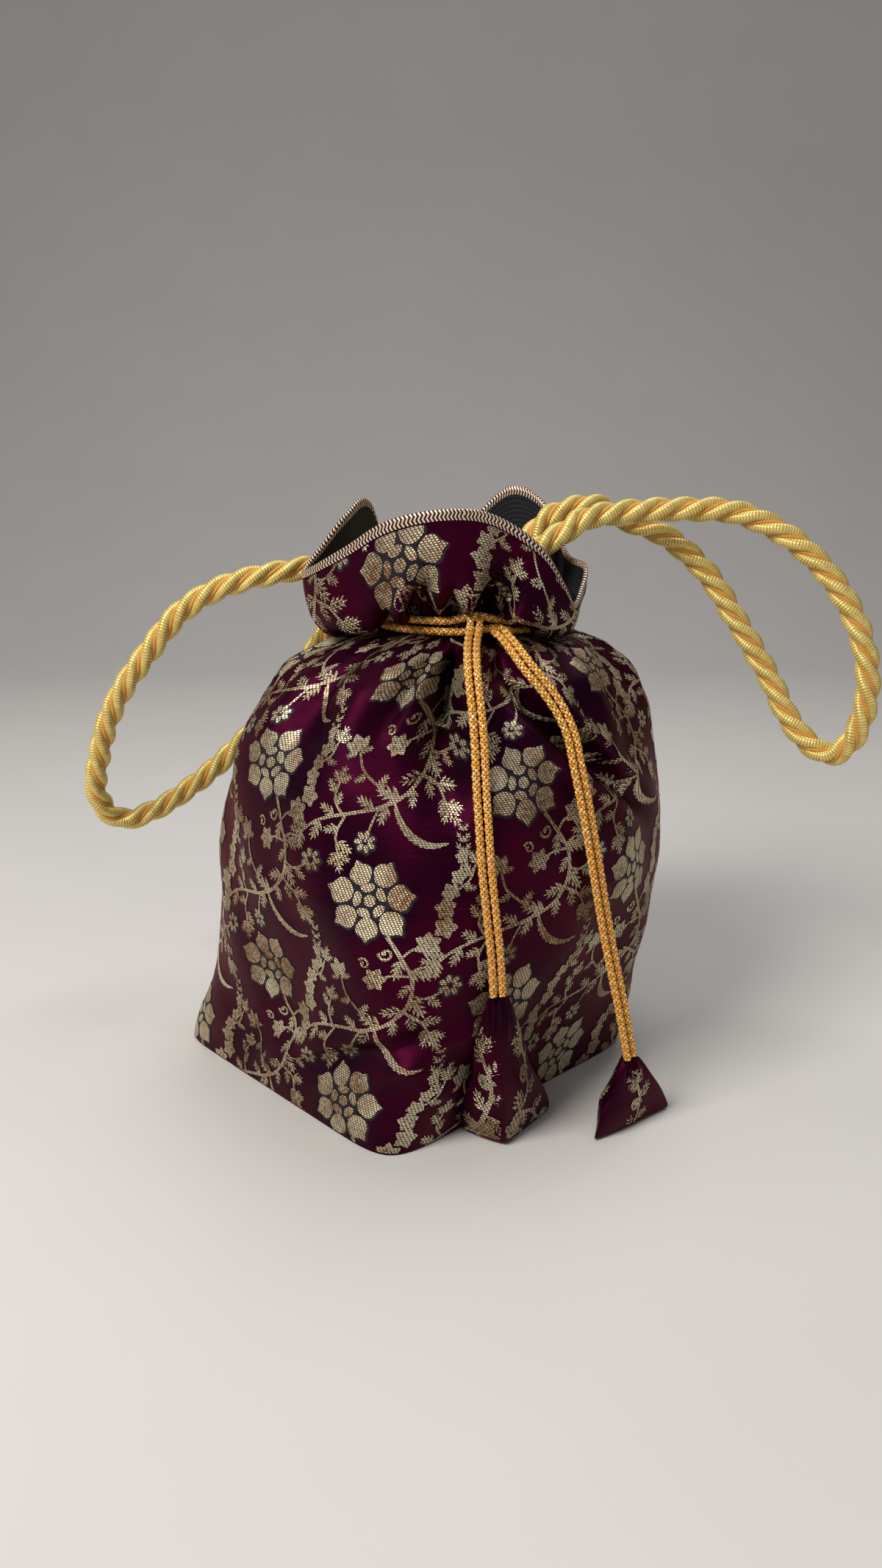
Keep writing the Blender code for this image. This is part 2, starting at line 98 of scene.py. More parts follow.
class Dye:
    """A Principled material and the nodes that feed it."""

    def __init__(self, name: str) -> None:
        """Start the material with its shader.

        Args:
            name: The material's name.
        """
        self.material = bpy.data.materials.new(name)
        self.material.use_nodes = True
        self.tree = self.material.node_tree
        self.shader = self.tree.nodes["Principled BSDF"]

    def join(self, source: object, target: Socket) -> None:
        """Feed a socket from another socket, or with a number or a colour.

        Args:
            source: A socket, a number or a colour as a screen shows it.
            target: The socket that it feeds.
        """
        if isinstance(source, Socket):
            self.tree.links.new(source, target)
        else:
            target.default_value = linear(*source) if isinstance(source, tuple) else source

    def node(self, kind: str, inputs: dict, **settings: object) -> bpy.types.Node:
        """Add a node and feed it.

        Args:
            kind: The node's type.
            inputs: A socket, number or colour for each input, by its name or number.
            settings: The node's properties, by name.

        Returns:
            The new node.
        """
        made = self.tree.nodes.new(kind)
        for name, value in settings.items():
            setattr(made, name, value)
        for name, value in inputs.items():
            self.join(value, made.inputs[name])
        return made

    def math(self, operation: str, *values: object) -> Socket:
        """The result of a sum on sockets and numbers."""
        return self.node("ShaderNodeMath", dict(enumerate(values)), operation=operation).outputs[0]

    def scaled(self, value: object, factor: float, add: object = 0.0) -> Socket:
        """A value times a factor, plus another value."""
        return self.math("MULTIPLY_ADD", value, factor, add)

    def mix(self, share: object, first: object, second: object) -> Socket:
        """A colour between two others, by the second one's share."""
        inputs = {MIX_SHARE: share, MIX_FIRST: first, MIX_SECOND: second}
        return self.node("ShaderNodeMix", inputs, data_type="RGBA").outputs[MIX_RESULT]

    def noise(self, scale: float, detail: float = 2.0, place: object = None) -> Socket:
        """Soft irregular values from 0 to 1, read at object coordinates if no place is given."""
        place = place or self.node("ShaderNodeTexCoord", {}).outputs["Object"]
        return self.node("ShaderNodeTexNoise", {"Scale": scale, "Detail": detail, "Vector": place}).outputs[0]

    def ramp(self, value: object, low: float, high: float) -> Socket:
        """A value spread over 0 to 1, low becoming 0 and high 1."""
        return self.node("ShaderNodeMapRange", {"Value": value, "From Min": low, "From Max": high}).outputs[0]

    def cloth_place(self) -> tuple[Socket, Socket]:
        """The thread coordinates across and along the cloth, in metres."""
        place = self.node("ShaderNodeUVMap", {}, uv_map="threads").outputs[0]
        return tuple(self.node("ShaderNodeSeparateXYZ", {0: place}).outputs[:2])

    def wave(self, place: object, pitch: float, shift: object = 0.0) -> Socket:
        """A smooth wave from 0 to 1 along a coordinate.

        Args:
            place: The coordinate, in metres.
            pitch: The wave's length, in metres.
            shift: A phase in turns.

        Returns:
            The wave's socket.
        """
        turns = self.math("ADD", self.math("DIVIDE", place, pitch), shift)
        swing = self.math("SINE", self.math("MULTIPLY", turns, 2 * math.pi))
        return self.scaled(swing, 0.5, 0.5)

    def bump(self, height: object, strength: float, depth: float) -> None:
        """Raise the surface's shading by a height, whose full value is a depth in metres."""
        made = self.node("ShaderNodeBump", {"Strength": strength, "Distance": depth, "Height": height})
        self.join(made.outputs[0], self.shader.inputs["Normal"])

    def set(self, **values: object) -> None:
        """Set or feed the shader's own sockets, named with underscores for spaces."""
        for name, value in values.items():
            self.join(value, self.shader.inputs[name.replace("_", " ")])


class Finish:
    """The look of one kind of thread or surface."""

    def feed(self, made: Dye) -> None:
        """Feed the material's shader."""
        raise NotImplementedError

    def dye(self, name: str) -> Material:
        """Make the finish's material.

        Args:
            name: The material's name.

        Returns:
            The material.
        """
        made = Dye(name)
        self.feed(made)
        return made.material


@dataclass(frozen=True)
class ShotSilk(Finish):
    """The brocade's ground: aubergine warp shot with magenta weft, in fine ribs; its broad magenta patches are partly
    the silk's uneven colour and partly painted satin highlight.
    """

    deep: Colour = (22, 3, 24)
    weft_and_sheen: Colour = (64, 5, 30)
    sheen: Colour = (240, 70, 112)
    rib: float = 0.00037
    warp: float = 0.000296
    slub: tuple[float, float] = (60.0, 2600.0)

    def feed(self, made: Dye) -> None:
        """Feed the material's shader."""
        across, along = made.cloth_place()
        broad = made.noise(26.0, 3.0)
        slub = {0: made.math("MULTIPLY", across, self.slub[0]), 1: made.math("MULTIPLY", along, self.slub[1])}
        streak = made.noise(1.0, 1.0, made.node("ShaderNodeCombineXYZ", slub).outputs[0])
        share = made.scaled(streak, 0.5, made.scaled(broad, 1.5, -0.55))
        # Broad patches turn the deep ground to magenta: partly the silk's uneven colour, partly a painted satin
        # highlight.
        colour = made.mix(made.ramp(share, 0.2, 0.8), self.deep, self.weft_and_sheen)
        ribs = made.wave(along, self.rib)
        warp = made.wave(across, self.warp)
        made.bump(made.scaled(warp, 0.3, made.scaled(streak, 0.6, ribs)), 0.5, 0.00006)
        made.set(
            Base_Color=colour,
            Metallic=0.5,
            Roughness=made.scaled(streak, 0.14, 0.28),
            Specular_Tint=self.sheen,
            Specular_IOR_Level=0.3,
            Anisotropic=0.55,
        )


@dataclass(frozen=True)
class GoldThread(Finish):
    """Zari thread: flat gold twill dashes, paler in random patches that are partly the thread's own tone and partly
    painted glints.
    """

    dull: Colour = (146, 100, 62)
    pale_tone_and_glint: Colour = (255, 242, 204)
    between: Colour = (42, 20, 30)
    glow: Colour = (255, 238, 190)
    dash: float = 0.00120
    row: float = 0.00072

    def feed(self, made: Dye) -> None:
        """Feed the material's shader."""
        across, along = made.cloth_place()
        rows = made.wave(along, self.row)
        step = made.math("DIVIDE", made.math("FLOOR", made.math("DIVIDE", along, self.row)), 3.0)
        dashes = made.wave(across, self.dash, step)
        cover = made.math("MULTIPLY", made.ramp(rows, 0.02, 0.5), made.ramp(dashes, 0.02, 0.4))
        broad = made.noise(45.0, 2.0)
        fine = made.noise(900.0, 1.0)
        # Random patches move the thread from dull gold to near white: partly its own uneven tone, partly painted
        # glints.
        tone = made.scaled(fine, 0.9, made.scaled(broad, 1.5, -0.70))
        thread = made.mix(made.ramp(tone, 0.2, 0.8), self.dull, self.pale_tone_and_glint)
        colour = made.mix(made.scaled(cover, 0.95, 0.05), self.between, thread)
        made.bump(made.scaled(fine, 0.3, cover), 0.8, 0.0001)
        made.set(
            Base_Color=colour,
            Metallic=0.45,
            Roughness=made.scaled(broad, 0.16, 0.2),
            Specular_Tint=self.glow,
        )


@dataclass(frozen=True)
class OutlineThread(Finish):
    """The black thread that outlines the larger flowers and the buds."""

    colour: Colour = (17, 12, 19)
    worn: Colour = (26, 16, 26)
    rib: float = 0.0005
    warp: float = 0.0007

    def feed(self, made: Dye) -> None:
        """Feed the material's shader."""
        across, along = made.cloth_place()
        ribs = made.math("MULTIPLY", made.wave(along, self.rib), made.wave(across, self.warp))
        tone = made.mix(made.noise(700.0, 1.0), self.colour, self.worn)
        made.bump(ribs, 0.5, 0.00006)
        made.set(Base_Color=tone, Roughness=0.62, Specular_IOR_Level=0.3)


@dataclass(frozen=True)
class ZariBorder(Finish):
    """The woven border of the hem: zig-zag twill of pale gold on dark purple."""

    gold: Colour = (240, 212, 180)
    dark: Colour = (34, 5, 26)
    pitch: float = 0.0021
    zig: float = 0.0011

    def feed(self, made: Dye) -> None:
        """Feed the material's shader."""
        across, along = made.cloth_place()
        slant = made.math("DIVIDE", made.math("PINGPONG", along, self.zig), self.pitch)
        twill = made.ramp(made.wave(across, self.pitch, slant), 0.5, 0.62)
        spark = made.noise(1500.0, 1.0)
        share = made.math("MULTIPLY", twill, made.ramp(spark, 0.12, 0.36))
        made.bump(share, 0.7, 0.00012)
        made.set(
            Base_Color=made.mix(share, self.dark, self.gold),
            Metallic=0.45,
            Roughness=made.scaled(spark, 0.3, 0.25),
        )


@dataclass(frozen=True)
class MeshLining(Finish):
    """Dark polyester lining with a honeycomb of small raised cells, which are painted lighter as a highlight."""

    ground: Colour = (9, 11, 14)
    raised: Colour = (27, 31, 37)
    cell: float = 0.0014

    def feed(self, made: Dye) -> None:
        """Feed the material's shader."""
        across, along = made.cloth_place()
        skew = made.math("DIVIDE", along, self.cell * 1.7)
        first = made.wave(across, self.cell, skew)
        second = made.wave(across, self.cell, made.math("MULTIPLY", skew, -1.0))
        third = made.wave(along, self.cell * 0.86)
        cells = made.math("ADD", made.math("ADD", first, second), third)
        raised = made.ramp(cells, 1.5, 2.4)
        made.bump(raised, 0.8, 0.0002)
        # The raised cells take a lighter colour: a painted highlight on the dark lining.
        made.set(
            Base_Color=made.mix(raised, self.ground, self.raised),
            Roughness=0.6,
            Specular_IOR_Level=0.3,
        )


@dataclass(frozen=True)
class SatinWrap(Finish):
    """Satin thread wrapped closely around each strand of the rope, painted darker between its turns as shade and
    paler on them as highlight.
    """

    shade: Colour = (174, 132, 48)
    light: Colour = (248, 228, 144)
    glow: Colour = (255, 232, 150)
    down: Colour = (255, 236, 160)
    turn: float = 0.0010

    def feed(self, made: Dye) -> None:
        """Feed the material's shader."""
        across, along = made.cloth_place()
        wobble = made.noise(260.0, 2.0)
        slant = made.scaled(wobble, 0.8, made.math("MULTIPLY", across, 55.0))
        turns = made.wave(along, self.turn, slant)
        # The colour follows the turns of the wrap, painted shade between them and painted highlight on them, mixed
        # with random tone.
        tone = made.scaled(turns, 0.45, made.math("MULTIPLY", wobble, 0.65))
        made.bump(turns, 0.8, 0.00014)
        made.set(
            Base_Color=made.mix(made.ramp(tone, 0.15, 0.85), self.shade, self.light),
            Roughness=0.3,
            Metallic=0.2,
            Specular_IOR_Level=0.7,
            Specular_Tint=self.glow,
            Sheen_Weight=0.08,
            Sheen_Roughness=0.3,
            Sheen_Tint=self.down,
        )


@dataclass(frozen=True)
class CoreYarn(Finish):
    """The rope's orange core and filler yarns, seen in the grooves between its strands."""

    colour: Colour = (196, 124, 30)
    pale: Colour = (232, 168, 62)

    def feed(self, made: Dye) -> None:
        """Feed the material's shader."""
        tone = made.mix(made.noise(500.0, 2.0), self.colour, self.pale)
        made.set(Base_Color=tone, Roughness=0.6, Sheen_Weight=0.3)


@dataclass(frozen=True)
class BraidedZari(Finish):
    """Metallic thread of the drawcords, with painted shade in the gaps between stitches and painted glints on the
    stitches' crests.
    """

    gap: Colour = (34, 12, 4)
    thread: Colour = (252, 180, 76)
    spark: Colour = (255, 246, 212)

    def feed(self, made: Dye) -> None:
        """Feed the material's shader."""
        stitch = made.node("ShaderNodeAttribute", {}, attribute_name="stitch").outputs["Fac"]
        # Painted shade where a yarn lies low towards the cord's middle, in the gaps between stitches.
        body = made.mix(made.ramp(stitch, 0.58, 0.86), self.gap, self.thread)
        glint = made.noise(1100.0, 1.0)
        # Painted glints in small random spots on the crests of the stitches.
        share = made.math("MULTIPLY", made.ramp(glint, 0.53, 0.63), made.ramp(stitch, 0.80, 0.96))
        made.bump(glint, 0.3, 0.0001)
        made.set(
            Base_Color=made.mix(share, body, self.spark),
            Metallic=0.3,
            Roughness=made.scaled(glint, 0.3, 0.16),
        )


@dataclass(frozen=True)
class PlainMatte(Finish):
    """An even matte colour with a faint mottle."""

    colour: Colour
    roughness: float = 0.9

    def feed(self, made: Dye) -> None:
        """Feed the material's shader."""
        low = tuple(value * 0.97 for value in self.colour)
        made.set(Base_Color=made.mix(made.noise(9.0), low, self.colour), Roughness=self.roughness)


def bell(value: object) -> Array:
    """1 where the value is nought, less on both sides of it."""
    return np.exp(-(np.asarray(value) ** 2))


def degrees_from(middle: float, angle: object) -> Array:
    """Signed degrees from a middle direction to others, at most half a turn."""
    return (angle - middle + 180) % 360 - 180


def running_length(points: Array) -> Array:
    """The way along rows of points from the first, as the mean of all columns in a grid."""
    steps = np.linalg.norm(np.diff(points, axis=0), axis=-1)
    return np.concatenate([[0.0], np.cumsum(steps if steps.ndim == 1 else steps.mean(axis=1))])


def circle(count: int) -> Array:
    """Points around a circle one in radius."""
    turns = np.arange(count) * 2 * math.pi / count
    return np.stack([np.cos(turns), np.sin(turns)], axis=1)


def mirrored(half: list[tuple[float, float]]) -> list[tuple[float, float]]:
    """An outline from the half of it that ends at its tip on the axis."""
    return half + [(x, -y) for x, y in reversed(half[:-1])]


def hermite(keys: Array, values: Array, wanted: Array, slopes: Array) -> Array:
    """Cubic curve through values at keys.

    Args:
        keys: Where the values stand.
        values: One row for each key.
        wanted: Where the curve is read.
        slopes: The curve's slope at each key.

    Returns:
        One row for each wanted place.
    """
    place = np.clip(np.searchsorted(keys, wanted, side="right") - 1, 0, len(keys) - 2)
    span = keys[place + 1] - keys[place]
    t = ((wanted - keys[place]) / span)[:, None]
    span = span[:, None]
    return (
        values[place] * (2 * t**3 - 3 * t**2 + 1)
        + slopes[place] * span * (t**3 - 2 * t**2 + t)
        + values[place + 1] * (3 * t**2 - 2 * t**3)
        + slopes[place + 1] * span * (t**3 - t**2)
    )


def smooth_line(table: object, wanted: object) -> Array:
    """Read a table of (key, value, ...) rows along a smooth curve.

    Args:
        table: The rows.
        wanted: The keys to read at.

    Returns:
        One row of values for each wanted key.
    """
    rows = np.array(table, float)
    keys, values = rows[:, 0], rows[:, 1:]
    return hermite(keys, values, np.asarray(wanted, float), np.gradient(values, keys, axis=0))


def smooth_loop(table: object, period: float, wanted: Array) -> Array:
    """The same for a table whose last row leads back to the first.

    Args:
        table: The rows.
        period: The key after which the table repeats.
        wanted: The keys to read at.

    Returns:
        One row of values for each wanted key.
    """
    rows = np.array(table, float)
    keys = np.concatenate([rows[-2:, 0] - period, rows[:, 0], rows[:2, 0] + period])
    values = np.concatenate([rows[-2:, 1:], rows[:, 1:], rows[:2, 1:]])
    wrapped = (np.asarray(wanted, float) - rows[0, 0]) % period + rows[0, 0]
    return hermite(keys, values, wrapped, np.gradient(values, keys, axis=0))


def smooth_route(points: object, spacing: float) -> Array:
    """Evenly spaced points on a smooth curve through a route's own points.

    Args:
        points: The route's points, in two or three coordinates.
        spacing: The distance between the new points.

    Returns:
        The new points.
    """
    route = np.array(points, float)
    along = running_length(route)
    fine = smooth_line(np.column_stack([along, route]), np.linspace(0, along[-1], 40 * len(route)))
    lengths = running_length(fine)
    wanted = np.linspace(0, lengths[-1], max(2, round(lengths[-1] / spacing)) + 1)
    return np.stack([np.interp(wanted, lengths, fine[:, axis]) for axis in range(route.shape[1])], axis=1)


def unit(vectors: Array) -> Array:
    """The same directions, one long."""
    return vectors / np.maximum(np.linalg.norm(vectors, axis=-1, keepdims=True), 1e-12)


def in_scene(name: str, data: bpy.types.ID) -> Piece:
    """A new object in the scene."""
    made = bpy.data.objects.new(name, data)
    bpy.context.scene.collection.objects.link(made)
    return made


@dataclass
class Patch:
    """Shapes that are gathered into one mesh."""

    points: list[Array] = field(default_factory=list)
    faces: list[Array] = field(default_factory=list)
    count: int = 0

    def add(self, points: Array, faces: Array) -> None:
        """Add a shape, if it has any faces."""
        if len(faces):
            self.points.append(np.asarray(points, float))
            self.faces.append(np.asarray(faces, int) + self.count)
            self.count += len(points)

    def merged(self) -> Shape:
        """All shapes as one list of points and one of faces."""
        if not self.points:
            return np.zeros((0, 2)), np.zeros((0, 3), int)
        return np.concatenate(self.points), np.concatenate(self.faces)


def compacted(faces: Array) -> tuple[Array, Array]:
    """The points that some faces use, and the faces numbered anew among them."""
    used, compact = np.unique(faces, return_inverse=True)
    return used, compact.reshape(faces.shape)


def build_object(name: str, points: Array, faces: object, threads: Array | None = None) -> Piece:
    """A smooth mesh object.

    Args:
        name: The object's name.
        points: Its vertices.
        faces: Its faces, as rows of vertex numbers.
        threads: Thread coordinates in metres, one row for each face corner.

    Returns:
        The object, in the scene.
    """
    mesh = bpy.data.meshes.new(name)
    mesh.from_pydata(np.asarray(points).tolist(), [], np.asarray(faces).tolist())
    mesh.shade_smooth()
    if threads is not None:
        layer = mesh.uv_layers.new(name="threads")
        layer.data.foreach_set("uv", np.asarray(threads, np.float32).ravel())
    return in_scene(name, mesh)


def dress(piece: Piece, finish: Material, node: str = "") -> None:
    """Give a piece its material and body, and hide the frame's node that it stands for.

    Args:
        piece: The piece.
        finish: Its material.
        node: The frame's node that it replaces, if any.
    """
    piece.data.materials.append(finish)
    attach(piece, "root")
    if node:
        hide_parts(node)


def thread_table(across: Array, rise: Array) -> Array:
    """Thread coordinates of a grid, from those of its columns and of its rows."""
    return np.stack(np.broadcast_arrays(across[None], rise[:, None]), axis=-1)


def face_corners(table: Array) -> Array:
    """A grid's thread coordinates at the corners of its quads, one row for each corner."""
    corners = [table[:-1, :-1], table[:-1, 1:], table[1:, 1:], table[1:, :-1]]
    return np.stack(corners, axis=2).reshape(-1, 2)


def grid_faces(rows: int, columns: int, closed: bool) -> Array:
    """Quads of a grid of vertices.

    Args:
        rows: Rows of vertices.
        columns: Vertices in a row.
        closed: Whether each row closes on itself.

    Returns:
        One row of four vertex numbers for each quad.
    """
    across = np.arange(columns if closed else columns - 1)
    up = np.arange(rows - 1)[:, None] * columns
    after = (across + 1) % columns
    return np.stack([up + across, up + after, up + columns + after, up + columns + across], axis=-1).reshape(-1, 4)


def grid_object(name: str, grid: Array, threads: Array, closed: bool) -> Piece:
    """A smooth sheet on a grid of points.

    Args:
        name: The object's name.
        grid: Rows of points.
        threads: Rows of thread coordinates, one column longer than the grid where it closes.
        closed: Whether each row closes on itself.

    Returns:
        The object.
    """
    faces = grid_faces(*grid.shape[:2], closed)
    return build_object(name, grid.reshape(-1, 3), faces, face_corners(threads))


def route_frames(route: Array) -> tuple[Array, Array]:
    """Directions across a route that don't twist around it.

    Args:
        route: The route's points.

    Returns:
        The normals and binormals.
    """
    tangents = unit(np.gradient(route, axis=0))
    normal = unit(np.cross(tangents[0], [0.3, 0.5, 0.8]))
    normals = []
    for tangent in tangents:
        normal = unit(normal - tangent * (normal @ tangent))
        normals.append(normal)
    normals = np.array(normals)
    return normals, np.cross(tangents, normals)


def wound(route: Array, angle: Array, distance: object) -> Array:
    """A line that winds around a route, from its angle and its distance at each point."""
    normals, binormals = route_frames(route)
    return route + distance * (normals * np.cos(angle) + binormals * np.sin(angle))


def swept_tube(route: Array, radius: Array, sides: int) -> Shape:
    """An open tube along a route.

    Args:
        route: The route's points.
        radius: The radius at each point and side.
        sides: Sides of the tube.

    Returns:
        The rings of vertices, and the faces between them.
    """
    normals, binormals = route_frames(route)
    turn = np.arange(sides) * 2 * math.pi / sides
    outward = normals[:, None] * np.cos(turn)[:, None] + binormals[:, None] * np.sin(turn)[:, None]
    rings = route[:, None] + outward * np.broadcast_to(radius, outward.shape[:2])[..., None]
    return rings, grid_faces(len(route), sides, True)


def tube_object(name: str, tubes: list[Shape], width: float) -> Piece:
    """One object from several swept tubes, with thread coordinates around and along each.

    Args:
        name: The object's name.
        tubes: The rings and faces of each tube.
        width: The distance around a tube, in metres.

    Returns:
        The object.
    """
    whole, threads = Patch(), []
    for rings, quads in tubes:
        sides = rings.shape[1]
        around = np.arange(sides + 1) * width / sides
        threads.append(face_corners(thread_table(around, running_length(rings.mean(axis=1)))))
        whole.add(rings.reshape(-1, 3), quads)
    return build_object(name, *whole.merged(), np.concatenate(threads))


@dataclass
class PhotoCamera:
    """The camera at the photograph's viewing angle."""

    place: Point = (0.0149, -0.4215, 0.22)
    pitch_down: float = 15.1
    focal_pixels: float = 1540.0
    image_height: float = 2133.0
    sensor: float = 36.0

    def build(self) -> None:
        """Make the camera and let the scene look through it."""
        data = bpy.data.cameras.new("photo_camera")
        data.sensor_width = self.sensor
        data.lens = self.focal_pixels / self.image_height * self.sensor
        data.clip_start = 0.01
        made = in_scene("photo_camera", data)
        made.location = self.place
        made.rotation_euler = (math.radians(90 - self.pitch_down), 0, 0)
        bpy.context.scene.camera = made


@dataclass
class Handle:
    """A twisted rope handle: satin-wrapped strands laid around a thin core."""

    name: str
    length: float
    route: tuple[Point, ...]
    strands: int = 3
    strand_radius: float = 0.00208
    lay_radius: float = 0.00266
    pitch: float = 0.032
    core_radius: float = 0.0016
    filler_radius: float = 0.00070
    filler_lay: float = 0.00275
    diameter: float = 0.010
    taper: float = 0.006
    end_share: float = 0.55
    spacing: float = 0.0014
    sides: int = 14
    core_sides: int = 8

    def strand(self, path: Array, turn: float, lay: float, radius: float) -> Shape:
        """One strand or filler yarn of the rope.

        Args:
            path: The rope's middle line.
            turn: Where around the rope it starts, in radians.
            lay: How far its middle lies from the rope's.
            radius: Its radius.

        Returns:
            Its rings and faces.
        """
        along = np.arange(len(path)) * self.spacing
        angle = (turn - 2 * math.pi * along / self.pitch)[:, None]
        ends = np.minimum(1, np.minimum(along, along[-1] - along) / self.taper)
        shares = self.end_share + (1 - self.end_share) * ends
        return swept_tube(wound(path, angle, lay), (radius * shares)[:, None], self.sides)

    def build(self, wrap: Material, core: Material) -> None:
        """Args:
            wrap: The strands' material.
            core: The core's material.
        """
        path = smooth_route(self.route, self.spacing)
        turns = [2 * math.pi * number / self.strands for number in range(self.strands)]
        tubes = [self.strand(path, turn, self.lay_radius, self.strand_radius) for turn in turns]
        between = math.pi / self.strands
        fillers = [self.strand(path, turn + between, self.filler_lay, self.filler_radius) for turn in turns]
        rope = tube_object(f"rope_{self.name}", tubes, 2 * math.pi * self.strand_radius)
        heart = swept_tube(path, np.full((len(path), 1), self.core_radius), self.core_sides)
        inner = tube_object(f"rope_core_{self.name}", [heart, *fillers], 2 * math.pi * self.core_radius)
        dress(rope, wrap, f"handle_{self.name}")
        dress(inner, core)
        LOG.info("rope handle %s: %.3f m along its route", self.name, len(path) * self.spacing)


@dataclass
class DrawCord:
    """A braided drawcord: up one strand, once around the neck, down the other strand to the tassel."""

    name: str
    length: float
    fall: tuple[Point, ...]
    ring: tuple[float, float]
    ring_height: float
    diameter: float = 0.003
    strand_spread: float = 0.0015
    neck_radius: float = 0.0275
    pleat_depth: float = 0.0032
    clearance: float = 0.0006
    neck_height: float = 0.168
    neck_lean: float = 0.024
    ring_steps: int = 11
    spacing: float = 0.00045
    yarns: int = 4
    yarn_radius: float = 0.00047
    lay_radius: float = 0.00080
    weave: float = 0.00024
    pitch: float = 0.0068
    sides: int = 6

    def strand(self, side: int) -> Array:
        """One hanging strand's points, beside the middle line that both follow."""
        middle = np.array(self.fall, float)
        outward = middle - np.array([self.neck_lean, 0.0, 0.0])
        outward[:, 2] = 0
        beside = unit(np.cross(np.gradient(middle, axis=0), outward))
        return middle + side * self.strand_spread * beside

    def path(self) -> Array:
        """The cord's whole middle line."""
        radius = self.neck_radius + self.pleat_depth + self.clearance + self.diameter / 2
        around = np.radians(np.linspace(self.ring[0], self.ring[1], self.ring_steps))
        height = np.full(self.ring_steps, self.neck_height + self.ring_height)
        turn = np.stack([self.neck_lean + radius * np.cos(around), radius * np.sin(around), height], axis=1)
        return smooth_route(np.concatenate([self.strand(-1)[::-1], turn, self.strand(1)]), self.spacing)

    def yarn(self, path: Array, number: int, hand: int) -> Shape:
        """One yarn of the braid, which winds one way and passes over and under those of the other.

        Args:
            path: The cord's middle line.
            number: The yarn's number among those that wind its way.
            hand: Which way it winds, 1 or -1.

        Returns:
            The yarn's rings and faces.
        """
        turn = 2 * math.pi * np.arange(len(path)) * self.spacing / self.pitch
        angle = (hand * turn + 2 * math.pi * number / self.yarns)[:, None]
        over = np.cos(self.yarns * turn + math.pi * (number + (hand < 0)))[:, None]
        middle = wound(path, angle, self.lay_radius + self.weave * over)
        return swept_tube(middle, np.full((len(path), 1), self.yarn_radius), self.sides)

    def build(self, thread: Material) -> None:
        """Args:
            thread: The cord's material.
        """
        path = self.path()
        tubes = [self.yarn(path, number, hand) for hand in (1, -1) for number in range(self.yarns)]
        made = tube_object(f"drawcord_{self.name}_braid", tubes, 2 * math.pi * self.yarn_radius)
        dress(made, thread, f"drawcord_{self.name}")
        outer = self.lay_radius + self.weave + self.yarn_radius
        # How far each point stands out from the cord's middle, which the material reads to paint shade in the gaps
        # and glints on the crests.
        reach = [np.linalg.norm(rings - path[:, None], axis=2).ravel() for rings, _ in tubes]
        layer = made.data.attributes.new("stitch", "FLOAT", "POINT")
        layer.data.foreach_set("value", (np.concatenate(reach) / outer).astype(np.float32))
        LOG.info("drawcord %s: %.3f m along its route", self.name, len(path) * self.spacing)


@dataclass(frozen=True)
class Crease:
    """A fold pressed into the wall: its middle runs from one angle and height to another."""

    angle: float
    height: float
    slope: float
    half_width: float
    depth: float
    reach: float
    lip: float = 0.25
    lip_place: float = 1.9

    def press(self, angle: Array, height: Array) -> Array:
        """How far the fold moves the cloth outward, its lips being raised.

        Args:
            angle: The cloth's angles, in degrees.
            height: Its heights, in metres.

        Returns:
            The distance at each place.
        """
        rise = height - self.height
        share = degrees_from(self.angle + self.slope * rise / MM, angle) / self.half_width
        dip = bell(share) - self.lip * (bell(share - self.lip_place) + bell(share + self.lip_place))
        return -self.depth * dip * bell(rise / self.reach)


